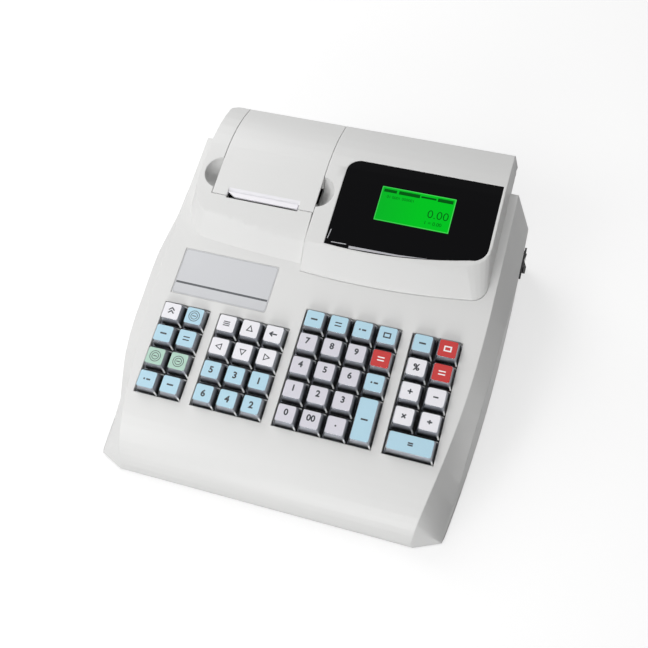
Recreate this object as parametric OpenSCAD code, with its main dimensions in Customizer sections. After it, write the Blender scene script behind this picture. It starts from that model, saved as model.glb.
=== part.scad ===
// Countertop ticket register: a wedge-shaped case with a sloping keyboard, and across its
// back a low raised head that holds a receipt printer under a hinged lid and a display.
//
// Millimetres. +Z is up, +X is the operator's right and -Y faces the operator. The origin
// lies on the table under the middle of the case. Most sizes of the keyboard and the head
// are in the deck frame: x as in the case, v up the slope, w square to the sloping deck.

/* [Case] */
// Half the width of the base where it is widest
base_half_w = 145.4; // [140:0.1:150]
// Half the width of the flat deck where it is widest
deck_half_w = 131.5; // [128:0.1:134]
// Slope of the deck, in degrees
deck_tilt = 14; // [13:0.5:15]
// Height of the deck at the front row of keys
deck_front_z = 38.4; // [36:0.1:42]
// Where the front row of keys starts, behind the middle of the case
deck_front_y = -104.4; // [-106:0.1:-102]
// Height of the edge between the side chamfer and the lower wall
shoulder_z = 53; // [48:1:56]
// Thickness of the moulded walls
wall = 2.5; // [2:0.1:3]
// Gap under the case, which the feet fill
foot_gap = 1.5; // [1:0.1:3]

/* [Keyboard] */
// Distance between the centres of two keys
key_pitch = 19.05; // [18.5:0.05:19.5]
// Width of the bar of deck between two blocks of keys
block_bar = 7.88; // [7:0.01:9]
// Gap between two caps at their base
cap_gap = 1; // [0.8:0.1:1.4]
// Height of the caps above the deck
cap_rise = 6; // [5:0.1:7]
// How far a key goes down
key_travel = 3.5; // [2.5:0.1:4]

/* [Head] */
// Height of the head's flat top above the deck
head_rise = 13.3; // [12:0.1:15]
// Where the lid's front edge is, up the slope
lid_front_v = 170; // [168:0.5:174]
// Width of the printer lid
lid_w = 85.4; // [80:0.1:88]
// Width of the gap round the lid and along the seam
seam = 0.4; // [0.3:0.1:0.6]
// How far the printer lid opens, in degrees
lid_open = 100; // [80:1:105]

/* [Printer] */
// Width of the paper slit
slit_w = 60.5; // [59:0.5:64]
// Radius of the hollow that takes the paper roll
roll_bay_r = 22.5; // [21:0.5:23]
// Radius of the platen roller
platen_r = 5; // [4:0.1:6]
// Clearance of a running shaft in its bore, on the radius
run_fit = 0.06; // [0.03:0.01:0.1]

/* [Display] */
// Width of the lit part of the display
lcd_w = 59.4; // [55:0.1:62]
// Depth of the lit part of the display, up the slope
lcd_d = 30.6; // [28:0.1:33]

/* [Power switch] */
// Length of the switch's flange
switch_l = 21.5; // [21:0.5:24]
// Height of the switch's flange
switch_h = 15; // [13:0.5:18]
// How far the rocker tips, in degrees
rocker_tip = 14; // [10:1:16]

/* [Hidden] */
$fn = 48;
label_white = "white";
label_grey = "gainsboro";
label_blue = "lightblue";
label_green = "darkseagreen";
label_red = "firebrick";
abs_colour = "whitesmoke";

// Each key: name, block, column, row from the front, columns wide, rows deep, label.
KEYS = [
    ["key_feed", 0, 0, 3, 1, 1, label_white], ["key_f1", 0, 1, 3, 1, 1, label_blue],
    ["key_f2", 0, 0, 2, 1, 1, label_blue], ["key_f3", 0, 1, 2, 1, 1, label_blue],
    ["key_card", 0, 0, 1, 1, 1, label_green], ["key_cash", 0, 1, 1, 1, 1, label_green],
    ["key_f4", 0, 0, 0, 1, 1, label_blue], ["key_f5", 0, 1, 0, 1, 1, label_blue],
    ["key_menu", 1, 0, 3, 1, 1, label_white], ["key_up", 1, 1, 3, 1, 1, label_white],
    ["key_back", 1, 2, 3, 1, 1, label_white], ["key_left", 1, 0, 2, 1, 1, label_white],
    ["key_down", 1, 1, 2, 1, 1, label_white], ["key_right", 1, 2, 2, 1, 1, label_white],
    ["key_dept_5", 1, 0, 1, 1, 1, label_blue], ["key_dept_3", 1, 1, 1, 1, 1, label_blue],
    ["key_dept_1", 1, 2, 1, 1, 1, label_blue], ["key_dept_6", 1, 0, 0, 1, 1, label_blue],
    ["key_dept_4", 1, 1, 0, 1, 1, label_blue], ["key_dept_2", 1, 2, 0, 1, 1, label_blue],
    ["key_f6", 2, 0, 4, 1, 1, label_blue], ["key_f7", 2, 1, 4, 1, 1, label_blue],
    ["key_f8", 2, 2, 4, 1, 1, label_blue], ["key_f9", 2, 3, 4, 1, 1, label_blue],
    ["key_7", 2, 0, 3, 1, 1, label_grey], ["key_8", 2, 1, 3, 1, 1, label_grey],
    ["key_9", 2, 2, 3, 1, 1, label_grey], ["key_clear", 2, 3, 3, 1, 1, label_red],
    ["key_4", 2, 0, 2, 1, 1, label_grey], ["key_5", 2, 1, 2, 1, 1, label_grey],
    ["key_6", 2, 2, 2, 1, 1, label_grey], ["key_subtotal", 2, 3, 2, 1, 1, label_blue],
    ["key_1", 2, 0, 1, 1, 1, label_grey], ["key_2", 2, 1, 1, 1, 1, label_grey],
    ["key_3", 2, 2, 1, 1, 1, label_grey], ["key_enter", 2, 3, 0, 1, 2, label_blue],
    ["key_0", 2, 0, 0, 1, 1, label_grey], ["key_00", 2, 1, 0, 1, 1, label_grey],
    ["key_point", 2, 2, 0, 1, 1, label_grey], ["key_f10", 3, 0, 4, 1, 1, label_blue],
    ["key_void", 3, 1, 4, 1, 1, label_red], ["key_percent", 3, 0, 3, 1, 1, label_white],
    ["key_refund", 3, 1, 3, 1, 1, label_red], ["key_plus", 3, 0, 2, 1, 1, label_white],
    ["key_minus", 3, 1, 2, 1, 1, label_white], ["key_times", 3, 0, 1, 1, 1, label_white],
    ["key_divide", 3, 1, 1, 1, 1, label_white], ["key_total", 3, 0, 0, 2, 1, label_blue],
];

// ---- Case outline -------------------------------------------------------------------

// The apron curves down from the deck to the table: four control points of a cubic, (y, z).
apron = [[-114.1, 36], [-143.2, 28.7], [-151.4, 17], [-153.6, 0]];
apron_steps = 9;
apron_last = 0.9;
deck_back_y = 115;
case_back_y = 123.6;
deck_steps = 16;
apron_foot_y = -116;
shoulder_full_y = -46;
// Behind this line the shoulder falls again, by this much for each millimetre.
shoulder_falls_y = 18;
shoulder_fall = 0.056;
rear_widest_y = 60;
front_y = -153.6;
corner_cut_y = -144.3;
front_half_w = 112.9;
corner_half_w = 132.9;

function cubic(p, t) =
    pow(1 - t, 3) * p[0] + 3 * pow(1 - t, 2) * t * p[1]
    + 3 * (1 - t) * t * t * p[2] + pow(t, 3) * p[3];
function deck_z(y) = deck_front_z + (y - deck_front_y) * tan(deck_tilt);
function smooth(t) = let (c = min(max(t, 0), 1)) c * c * (3 - 2 * c);
// A half width that falls from its widest by drop, between y_wide and the front.
function fall(y, y_wide, drop, power) =
    drop * pow(max(0, y_wide - y) / (y_wide - front_y), power);

function crease_half_w(y) = deck_half_w - fall(y, 26, 18.8, 2.2);
function base_w(y) =
    base_half_w - fall(y, rear_widest_y, 12.5, 2.4) - 1.1 * pow(max(0, y - rear_widest_y) / 63, 2);
// Half width of the base moved in by t. The front corners are cut off at an angle.
corner_slope = (corner_half_w - front_half_w) / (corner_cut_y - front_y);
function base_outline(y, t = 0) = min(
    base_w(y) - t,
    front_half_w + corner_slope * (y - front_y) - t * norm([1, corner_slope]));
function shoulder_half_w(y) =
    min(base_half_w - 0.5 - fall(y, rear_widest_y, 13, 1.65), base_outline(y) - 0.2);
function shoulder_height(y) =
    foot_gap + 1.5
    + (shoulder_z - 3) * smooth((y - apron_foot_y) / (shoulder_full_y - apron_foot_y))
    - shoulder_fall * max(0, y - shoulder_falls_y);

case_profile = concat(
    [for (i = [apron_steps:-1:1]) cubic(apron, apron_last * i / apron_steps)],
    [for (i = [0:deck_steps])
        let (y = apron[0][0] + (deck_back_y - apron[0][0]) * i / deck_steps) [y, deck_z(y)]],
    [[case_back_y, shoulder_height(case_back_y)]]
);

// The normal to the right of the line from a to b.
function right_of(a, b) = let (along = (b - a) / norm(b - a)) [along[1], -along[0]];

// A profile whose lines are all moved inwards by t.
function moved_in(profile, t) =
    let (last = len(profile) - 1,
         normals = [for (i = [0:last - 1]) right_of(profile[i], profile[i + 1])])
    [for (i = [0:last])
        let (a = normals[max(i - 1, 0)], b = normals[min(i, last - 1)])
        profile[i] + t * (a + b) / (1 + a * b)];

// One cross-section of the case at p = (y, z of the top), closed below at bottom_z,
// with its side walls moved in by t.
function case_ring(p, t, bottom_z) =
    let (y = p[0],
         behind = y > deck_back_y,
         lower = min(shoulder_height(y), lookup(y, case_profile) - 0.4),
         edge = [behind ? shoulder_half_w(y) - 0.5 : crease_half_w(y), lookup(y, case_profile)],
         shoulder = [shoulder_half_w(y), lower],
         n = right_of(edge, shoulder),
         crease = edge[0] + t * (behind ? -1 : n[0] / (1 - n[1])),
         inner = [base_outline(y, t) < shoulder[0] - t ? base_outline(y, t) - 0.2 : shoulder[0] - t,
                  min(lower + t * n[1] / (1 - n[0]), p[1] - 0.4)])
    [[crease, y, p[1]], [inner[0], y, inner[1]], [base_outline(y, t), y, bottom_z],
     [-base_outline(y, t), y, bottom_z], [-inner[0], y, inner[1]], [-crease, y, p[1]]];

// Skins a list of rings that all have the same number of points.
module loft(rings) {
    n = len(rings[0]);
    m = len(rings);
    polyhedron(
        points = [for (ring = rings) for (point = ring) point],
        faces = concat(
            [for (i = [0:m - 2]) for (j = [0:n - 1])
                [i * n + j, (i + 1) * n + j, (i + 1) * n + (j + 1) % n]],
            [for (i = [0:m - 2]) for (j = [0:n - 1])
                [i * n + j, (i + 1) * n + (j + 1) % n, i * n + (j + 1) % n]],
            [[for (j = [0:n - 1]) j]],
            [[for (j = [n - 1:-1:0]) (m - 1) * n + j]]
        )
    );
}

// ---- Deck frame ---------------------------------------------------------------------

module on_deck() {
    translate([0, deck_front_y, deck_front_z]) rotate([deck_tilt, 0, 0]) children();
}

// A prism across the case: polygon points are (v, w), from x0 to x1 in the deck frame.
module across(x0, x1, points) {
    translate([x0, 0, 0]) rotate([90, 0, 90]) linear_extrude(x1 - x0) polygon(points);
}

// A box given by its two corners.
module block(low, high) {
    translate(low) cube(high - low);
}

BLOCKS = [[2, 4], [3, 4], [4, 5], [2, 5]];
blocks_w = 11 * key_pitch + 3 * block_bar;
function columns_before(i) = i == 0 ? 0 : BLOCKS[i - 1][0] + columns_before(i - 1);
function block_x(i) = -blocks_w / 2 + columns_before(i) * key_pitch + i * block_bar;

// ---- Head ---------------------------------------------------------------------------

head_half_w = 125.4;
head_draft = 4.3;
// The lofted head parts reach from below the overhang to above the flat top.
loft_low_w = -12;
loft_top_w = 16;
head_back_v = 264.3;
front_slope = 32;
arc_start_v = 205;
arc_r = 102;
arc_end = 35.3;
overhang_lip = [256.4, -10];
deck_back_v = 226.4;
ledge_w = 2.4;
lid_x0 = -106.3;
lid_x1 = lid_x0 + 2 * seam + lid_w;
seam_x = lid_x1;
hinge_v = 250;
hinge_w = -3.5;
stub_r = 2;
notch_v = 189.5;
notch_r = 14.4;
notch_lift = 3;
// How far the notch's centre lies under the lid
notch_in = 2.5;
// Gap between the front block and the display cover, and depth of the paper slit
front_seam = 0.9;
slit_d = 1.4;
printer_bay = [[-104.5, 150], [-22, 222]];
display_bay = [[12, 166], [102, 212]];
printer_slope = 0.149;

// The head's rear arc, moved in by t: (v, w) from its start to its end.
function rear_arc(t, last) =
    [for (a = [0:last / 6:last])
        [arc_start_v + (arc_r - t) * sin(a), head_rise - arc_r + (arc_r - t) * cos(a)]];
function underside_w(v) =
    -2.4 - (v - deck_back_v) * (-2.4 - overhang_lip[1]) / (overhang_lip[0] - deck_back_v);

// Side views of the head, (v, w). front_drop lowers the top surface at v = 90.
function head_side(t, front_drop, bottom) = concat(
    [[90, bottom], [90, head_rise - t - front_drop], [lid_front_v, head_rise - t]],
    rear_arc(t, t == 0 ? arc_end : 33.5),
    t == 0 ? [overhang_lip, [deck_back_v, -2.4], [deck_back_v, bottom]]
    : [[overhang_lip[0] - 0.9 * t, overhang_lip[1] + t],
       [deck_back_v + 2, underside_w(deck_back_v + 2) + t], [deck_back_v, bottom]]
);

// Plan outline of a head part at height w: a bowed front, rounded corners, straight sides.
// side is 1 for the corners on the right and -1 for those on the left; r is the front
// corner's two radii and the rear corner's radius.
function head_ring(side, seam_side, front, bow, bow_x, r, half_w, w) =
    let (corner_x = half_w - r[0],
         corner_v = front + bow * pow(side * corner_x - bow_x, 2) + r[1])
    [for (point = concat(
        [[seam_side, head_back_v]],
        [for (i = [0:8])
            let (x = seam_side + (side * corner_x - seam_side) * i / 8)
            [x, front + bow * pow(x - bow_x, 2)]],
        [for (a = [15:15:90])
            [side * (corner_x + r[0] * sin(a)), corner_v - r[1] * cos(a)]],
        [for (a = [0:18:90])
            [side * (half_w - r[2] * (1 - cos(a))), head_back_v - r[2] * (1 - sin(a))]]))
        [point[0], point[1], w]];

// A head part without its top. It leans in from just below the deck up to loft_top_w.
module head_mass(side, seam_side, front, bow, bow_x, r_low, r_high, t) {
    low = -1;
    low_front = front + t / sin(front_slope) + low / tan(front_slope);
    high_front = front + t / sin(front_slope) + loft_top_w / tan(front_slope);
    rings = [
        head_ring(side, seam_side, low_front, bow, bow_x, r_low, head_half_w - t, loft_low_w),
        head_ring(side, seam_side, low_front, bow, bow_x, r_low, head_half_w - t, low),
        head_ring(side, seam_side, high_front, bow, bow_x, r_high,
                  head_half_w - head_draft - t, loft_top_w)];
    mirrored = [for (ring = rings) [for (i = [len(ring) - 1:-1:0]) ring[i]]];
    difference() {
        loft(side > 0 ? rings : mirrored);
        head_flank(side, t);
    }
}

// What the head's side loses behind the flat top, where its upper edge runs straight on.
module head_flank(side, t) {
    top_x = head_half_w - head_draft * (head_rise + 1) / (loft_top_w + 1);
    arc = rear_arc(0, arc_end);
    stations = concat(
        [[[arc_start_v - 0.01, head_rise], [arc_start_v - 0.01, -1]]],
        [for (i = [1:6])
            let (v = arc[i][0], foot = deck_back_v + (overhang_lip[0] - deck_back_v) * (i - 2) / 4)
            [arc[i], i < 3 ? [v, -1 - 0.6 * i] : [foot, underside_w(foot)]]],
        [[[270, -9.7], [262, -14]]]);
    rings = [for (s = stations)
        let (rise = 0.4 * (s[0] - s[1]), upper = s[0] + rise, lower = s[1] - rise,
             dx = 0.4 * (top_x - head_half_w))
        [[side * (top_x + dx - t), upper[0], upper[1]], [side * 160, upper[0], upper[1]],
         [side * 160, lower[0], lower[1]], [side * (head_half_w - dx - t), lower[0], lower[1]]]];
    mirrored = [for (ring = rings) [for (i = [len(ring) - 1:-1:0]) ring[i]]];
    loft(side > 0 ? rings : mirrored);
}

module printer_mass(t, seam_side) {
    head_mass(-1, seam_side, 130.6, 0.0005, 0, [22, 36, 12], [17, 24, 12], t);
}

module display_mass(t, seam_side) {
    head_mass(1, seam_side, 122.9, 0.00083, 23.4, [12, 12, 2], [22, 22, 2], t);
}

// The raised rim round the printer lid: front block, left strip and rear ledge.
module printer_rim() {
    printer_drop = printer_slope * (lid_front_v - 90);
    cavity_back = lid_front_v - slit_d - wall;
    lid_bay = [[lid_front_v, 30], [lid_front_v, 0], [deck_back_v, 0],
               [236, underside_w(236) + ledge_w], [236, -30], [300, -30], [300, 30]];
    difference() {
        intersection() {
            printer_mass(0, seam_x - front_seam);
            across(-200, 200, head_side(0, printer_drop, -1));
        }
        across(lid_x0, 0, lid_bay);
        intersection() {
            printer_mass(wall, seam_x - front_seam - wall);
            across(-200, 200, [[90, -3], [90, head_rise - wall - printer_drop],
                               [cavity_back, head_rise - wall - printer_slope * (wall + slit_d)],
                               [cavity_back, -3]]);
        }
        block([paper_x - 39.5, 160, -6], [paper_x + 39.5, lid_front_v + 1, 6.5]);
        block([paper_x - slit_w / 2, lid_front_v - slit_d, 6], [paper_x + slit_w / 2, lid_front_v + 1, 20]);
        translate([lid_x0 + notch_in, notch_v, head_rise + notch_lift]) sphere(r = notch_r);
        translate([lid_x0 - 3.2, hinge_v, hinge_w])
            rotate([0, 90, 0]) cylinder(r = stub_r + run_fit, h = 4);
    }
}

// ---- Static pieces ------------------------------------------------------------------

BOSSES = [[100, -128], [118, 8], [118, 98]];
boss_foot_z = 8.4;
base_top_z = foot_gap + 2.4;
FEET = [[112, -118], [128, 104]];
foot_r = 7;
foot_sink = 0.6;
socket_x = [38, 60, 82];
socket_w = 16;
socket_h = 13.2;
socket_z = 13.6;
inlet_x = 106;
switch_y = 93.5;
switch_z = 38;
pivot_x = 145.1;

module upper_case() color(abs_colour) difference() {
    union() {
        difference() {
            loft([for (p = case_profile) case_ring(p, 0, foot_gap)]);
            loft([for (p = moved_in(case_profile, wall)) case_ring(p, wall, -1)]);
        }
        key_wells();
        case_bosses();
        on_deck() printer_rim();
    }
    on_deck() {
        for (i = [0:3]) block([block_x(i), 0, -20],
            [block_x(i) + BLOCKS[i][0] * key_pitch, BLOCKS[i][1] * key_pitch, 20]);
        block([printer_bay[0][0], printer_bay[0][1], -6], [printer_bay[1][0], printer_bay[1][1], 0.5]);
        block([display_bay[0][0], display_bay[0][1], -6], [display_bay[1][0], display_bay[1][1], 6]);
        intersection() {
            printer_mass(wall, seam_x - front_seam - wall);
            block([-119, 100, -6], [-24, 150.5, 2]);
        }
        // Shallow seat of the nameplate
        block([-115.6, 84.5, -0.5], [-36.4, 124, 5]);
    }
    for (x = socket_x) block([x - socket_w / 2 - seam, 118, socket_z - seam],
        [x + socket_w / 2 + seam, 130, socket_z + socket_h + seam]);
    block([inlet_x - 5 - seam, 118, socket_z - seam], [inlet_x + 5 + seam, 130, socket_z + 11 + seam]);
    block([138, switch_y - 9.5, switch_z - 5.5], [150, switch_y + 9.5, switch_z + 5.5]);
}

// Short walls under the deck round each block of keys.
module key_wells() {
    skirt = 1.6;
    on_deck() for (i = [0:3])
        block([block_x(i) - skirt, -skirt, -7],
              [block_x(i) + BLOCKS[i][0] * key_pitch + skirt, BLOCKS[i][1] * key_pitch + skirt, -1]);
}

// Screw posts that hang from the deck down to the base.
module case_bosses() {
    for (side = [-1, 1]) for (boss = BOSSES) translate([side * boss[0], boss[1], boss_foot_z])
        difference() {
            cylinder(r = 4, h = case_top(boss[1]) - 2.2 - boss_foot_z);
            translate([0, 0, -1]) cylinder(r = 1.3, h = 13);
        }
}
function case_top(y) = y < apron[0][0] ? lookup(y, case_profile) : deck_z(y);

module base_pan() color("silver") difference() {
    union() {
        translate([0, 0, foot_gap]) linear_extrude(2.4) pan_outline(0);
        // Rim, which stops short of the sloping front
        translate([0, 0, foot_gap]) linear_extrude(7) difference() {
            pan_outline(0);
            pan_outline(2);
            translate([-200, -200]) square([400, 108]);
        }
        for (side = [-1, 1]) for (boss = BOSSES)
            translate([side * boss[0], boss[1], foot_gap]) cylinder(r = 4, h = boss_foot_z - foot_gap);
        for (x = [26, 106]) for (y = [36, 100])
            translate([x, y, foot_gap]) cylinder(r = 3, h = 12 - foot_gap);
        for (y = [-100:40:60]) block([-125, y, foot_gap], [125, y + 1.6, foot_gap + 4.5]);
    }
    for (side = [-1, 1]) for (boss = BOSSES) translate([side * boss[0], boss[1], 0]) {
        cylinder(r = 1.8, h = 20);
        cylinder(r = 3.4, h = foot_gap + 2.2);
    }
    for (side = [-1, 1]) for (foot = FEET)
        translate([side * foot[0], foot[1], 0]) cylinder(r = foot_r + 0.1, h = foot_gap + foot_sink);
    for (x = [-1, 1]) for (i = [0:7]) translate([x * 60, -30 + 9 * i, 0])
        block([-22, -1.5, 0], [22, 1.5, 6]);
}

// The base pan's outline: the inside of the case's walls, made smaller by t.
module pan_outline(t) {
    clearance = wall + 0.3 + t;
    front = front_y + clearance + 1.6;
    back = case_back_y - clearance;
    half = [for (i = [0:24])
        let (y = front + (back - front) * i / 24)
        [min(base_outline(y, clearance), shoulder_half_w(y) - clearance) - (y < -90 ? 1.4 : 0), y]];
    polygon(concat(half, [for (i = [len(half) - 1:-1:0]) [-half[i][0], half[i][1]]]));
}

module rubber_feet() color("dimgray") {
    for (side = [-1, 1]) for (foot = FEET)
        translate([side * foot[0], foot[1], 0]) cylinder(r = foot_r, h = foot_gap + foot_sink);
}

module display_cover() color(abs_colour) on_deck() difference() {
    union() {
        difference() {
            intersection() {
                display_mass(0, seam_x);
                across(-200, 200, head_side(0, 0, 0));
            }
            intersection() {
                display_mass(wall, seam_x + wall);
                across(-200, 200, head_side(wall, 0, -3));
            }
        }
        intersection() {
            display_mass(0.5, seam_x + 0.5);
            block([seam_x, notch_v - 16, 0.5], [seam_x + 16, notch_v + 16, head_rise - 0.5]);
        }
        intersection() {
            display_mass(0.5, seam_x + 0.5);
            translate([0, 0, window_seat_w - 2]) linear_extrude(2) difference() {
                window_outline(-2.4);
                window_outline(2);
            }
        }
    }
    translate([0, 0, window_seat_w]) linear_extrude(10) window_outline(-window_play);
    translate([seam_x - notch_in, notch_v, head_rise + notch_lift]) sphere(r = notch_r);
    translate([seam_x - 1, hinge_v, hinge_w]) rotate([0, 90, 0]) cylinder(r = stub_r + run_fit, h = 5);
}

window_x0 = -4.6;
window_x1 = 119.4;
window_front = 145.7;
window_back = 224.4;
window_bow = 0.0014;
window_bow_x = 20;
window_play = 0.15;
window_seat_w = 10.4;
lcd_x = 57.1;
lcd_v = 189.8;
// Outline of the window: the rear left and front right corners are round.
module window_outline(t) {
    big_r = 12 - t;
    small_r = 11 - t;
    x0 = window_x0 + t;
    x1 = window_x1 - t;
    front = window_front + t;
    back = window_back - t;
    corner_x = window_x1 - 12;
    corner_v = window_front + 12 + window_bow * pow(corner_x - window_bow_x, 2);
    polygon(concat(
        [for (i = [0:10])
            let (x = x0 + (corner_x - x0) * i / 10)
            [x, front + window_bow * pow(x - window_bow_x, 2)]],
        [for (a = [18:9:90]) [corner_x + big_r * sin(a), corner_v - big_r * cos(a)]],
        [[x1, back]],
        [for (a = [0:9:90]) [x0 + small_r - small_r * sin(a), back - small_r + small_r * cos(a)]]
    ));
}

module display_window() color([0.03, 0.03, 0.04]) on_deck() difference() {
    intersection() {
        translate([0, 0, window_seat_w]) linear_extrude(6) window_outline(0);
        across(-200, 200, head_side(0, 0, 0));
    }
    block([lcd_x - lcd_w / 2, lcd_v - lcd_d / 2, 0], [lcd_x + lcd_w / 2, lcd_v + lcd_d / 2, 20]);
}

module lcd_module() color("limegreen") on_deck() {
    glass_w = lcd_w - 0.4;
    glass_d = lcd_d - 0.4;
    // Glass, metal bezel, circuit board and its four posts
    translate([lcd_x, lcd_v, 0]) {
        block([-glass_w / 2, -glass_d / 2, 7], [glass_w / 2, glass_d / 2, head_rise - 0.5]);
        difference() {
            block([-36, -21, 5], [36, 21, 9.8]);
            block([-glass_w / 2 - 0.2, -glass_d / 2 - 0.2, 7], [glass_w / 2 + 0.2, glass_d / 2 + 0.2, 12]);
        }
        block([-54, -32, 3.4], [54, 31, 5]);
        for (x = [-51, 51]) for (v = [-29, 28]) translate([x, v, 0]) cylinder(r = 2.5, h = 3.4);
    }
}

// ---- Keyboard -----------------------------------------------------------------------

cap_bottom_w = -2.5;
cap_side_lean = 2.4;
cap_front_lean = 3;
cap_back_lean = 2;
cap_wall = 1.2;
label_w_inset = 0.4;
stem_w = 5;
stem_end_w = -13;
frame_top_w = -8;
frame_t = 2;
pcb_top_w = -18.6;

// A block with sloping sides: base from (0, 0) to (size x, size y), from z0 to z1.
module frustum(size, z0, z1, side, front, back) {
    intersection() {
        translate([0, size[1], 0]) rotate([90, 0, 0]) linear_extrude(size[1])
            polygon([[0, z0], [size[0], z0], [size[0] - side, z1], [side, z1]]);
        rotate([90, 0, 90]) linear_extrude(size[0])
            polygon([[0, z0], [size[1], z0], [size[1] - back, z1], [front, z1]]);
    }
}

// A hollow cap with a shallow seat for its label, and the stem that guides it.
module key(spec) {
    size = [spec[4] * key_pitch - cap_gap, spec[5] * key_pitch - cap_gap];
    low = [block_x(spec[1]) + spec[2] * key_pitch + cap_gap / 2, spec[3] * key_pitch + cap_gap / 2, 0];
    color(spec[6]) on_deck() translate(low) {
        difference() {
            frustum(size, cap_bottom_w, cap_rise, cap_side_lean, cap_front_lean, cap_back_lean);
            translate([cap_wall, cap_wall, 0])
                frustum(size - 2 * [cap_wall, cap_wall], cap_bottom_w - 0.1, cap_rise - 2,
                        cap_side_lean, cap_front_lean, cap_back_lean);
            block([cap_side_lean + label_w_inset, cap_front_lean + label_w_inset, cap_rise - 0.3],
                  [size[0] - cap_side_lean - label_w_inset, size[1] - cap_back_lean - label_w_inset, 9]);
        }
        translate([size[0] / 2, size[1] / 2, 0])
            block([-stem_w / 2, -stem_w / 2, stem_end_w], [stem_w / 2, stem_w / 2, cap_rise - 1.5]);
    }
}

// The frame that guides the stems, and the circuit board with its contact domes below it.
module key_frame() color([0.12, 0.12, 0.13]) on_deck() {
    hole = stem_w / 2 + 0.5;
    margin = 1.8;
    difference() {
        union() {
            for (i = [0:3]) block([block_x(i) - margin, -margin, frame_top_w - frame_t],
                [block_x(i) + BLOCKS[i][0] * key_pitch + margin, BLOCKS[i][1] * key_pitch + margin,
                 frame_top_w]);
            block([-blocks_w / 2, -margin, frame_top_w - frame_t], [blocks_w / 2, 60, frame_top_w]);
            for (i = [1:3]) block([block_x(i) - block_bar / 2 - 1.2, 4, frame_top_w - 1],
                [block_x(i) - block_bar / 2 + 1.2, 72, -wall]);
            for (x = [-blocks_w / 2 + 1, blocks_w / 2 - 4]) for (v = [-margin, 58])
                block([x, v, pcb_top_w + 0.1], [x + 3, v + 2, frame_top_w - 1]);
        }
        for (spec = KEYS) translate([
            block_x(spec[1]) + (spec[2] + spec[4] / 2) * key_pitch,
            (spec[3] + spec[5] / 2) * key_pitch, 0])
            block([-hole, -hole, frame_top_w - 5], [hole, hole, 0]);
    }
    block([-blocks_w / 2, -1, pcb_top_w - 1.6], [blocks_w / 2, 95, pcb_top_w]);
    for (spec = KEYS) translate([
        block_x(spec[1]) + (spec[2] + spec[4] / 2) * key_pitch,
        (spec[3] + spec[5] / 2) * key_pitch, pcb_top_w])
        rotate(22.5) cylinder(r = 4, h = 1.4, $fn = 8);
}

// ---- Printer ------------------------------------------------------------------------

paper_x = (lid_x0 + seam + lid_x0 + seam + lid_w) / 2;
bay_half_w = 30.6;
bay_v = 193.5;
bay_w = -24;
platen_v = 181;
platen_w = 3.5;
shaft_r = 1.5;
bracket_x = 33.4;
tear_v = 174.1;
tear_slope_v = 177.8;

module print_mechanism() color([0.2, 0.2, 0.22]) {
    side = 2.4;
    out = roll_bay_r + side;
    // The trough's straight upper walls stand a little inside the round bottom's width.
    step_in = 0.5;
    on_deck() translate([paper_x, 0, 0]) difference() {
        union() {
            translate([0, bay_v, bay_w]) rotate([0, 90, 0])
                cylinder(r = out, h = 2 * (bay_half_w + side), center = true);
            block([-bay_half_w - side, bay_v - out + step_in, bay_w],
                  [bay_half_w + side, bay_v + out - step_in, -4.2]);
            block([-35.6, bay_v - out - 1, -6.4], [35.6, bay_v + out + 1, -4]);
        }
        translate([0, bay_v, bay_w]) rotate([0, 90, 0])
            cylinder(r = roll_bay_r, h = 2 * bay_half_w, center = true);
        block([-bay_half_w, bay_v - roll_bay_r + step_in, bay_w],
              [bay_half_w, bay_v + roll_bay_r - step_in, 0]);
    }
    // Hollow block with the motor and the gears, and the thermal head on its rear face
    on_deck() translate([paper_x, 0, 0]) {
        difference() {
            block([-38.6, 153, -19], [38.6, 168, 4]);
            block([-35, 150, -16], [35, 165.5, 0]);
        }
        block([-29.4, 167.5, -5], [29.4, 175.7, 4.4]);
        translate([-36, 158, -8]) rotate([0, 90, 0]) cylinder(r = 5.5, h = 42);
    }
    // Feet of the trough on the base pan
    for (x = [-24, 24]) translate([paper_x + x, case_y(bay_v, bay_w), base_top_z])
        block([-3, -8, 0], [3, 8, case_z(bay_v, bay_w) - roll_bay_r - 1.1 - base_top_z]);
}
function case_y(v, w) = deck_front_y + v * cos(deck_tilt) - w * sin(deck_tilt);
function case_z(v, w) = deck_front_z + v * sin(deck_tilt) + w * cos(deck_tilt);

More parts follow.
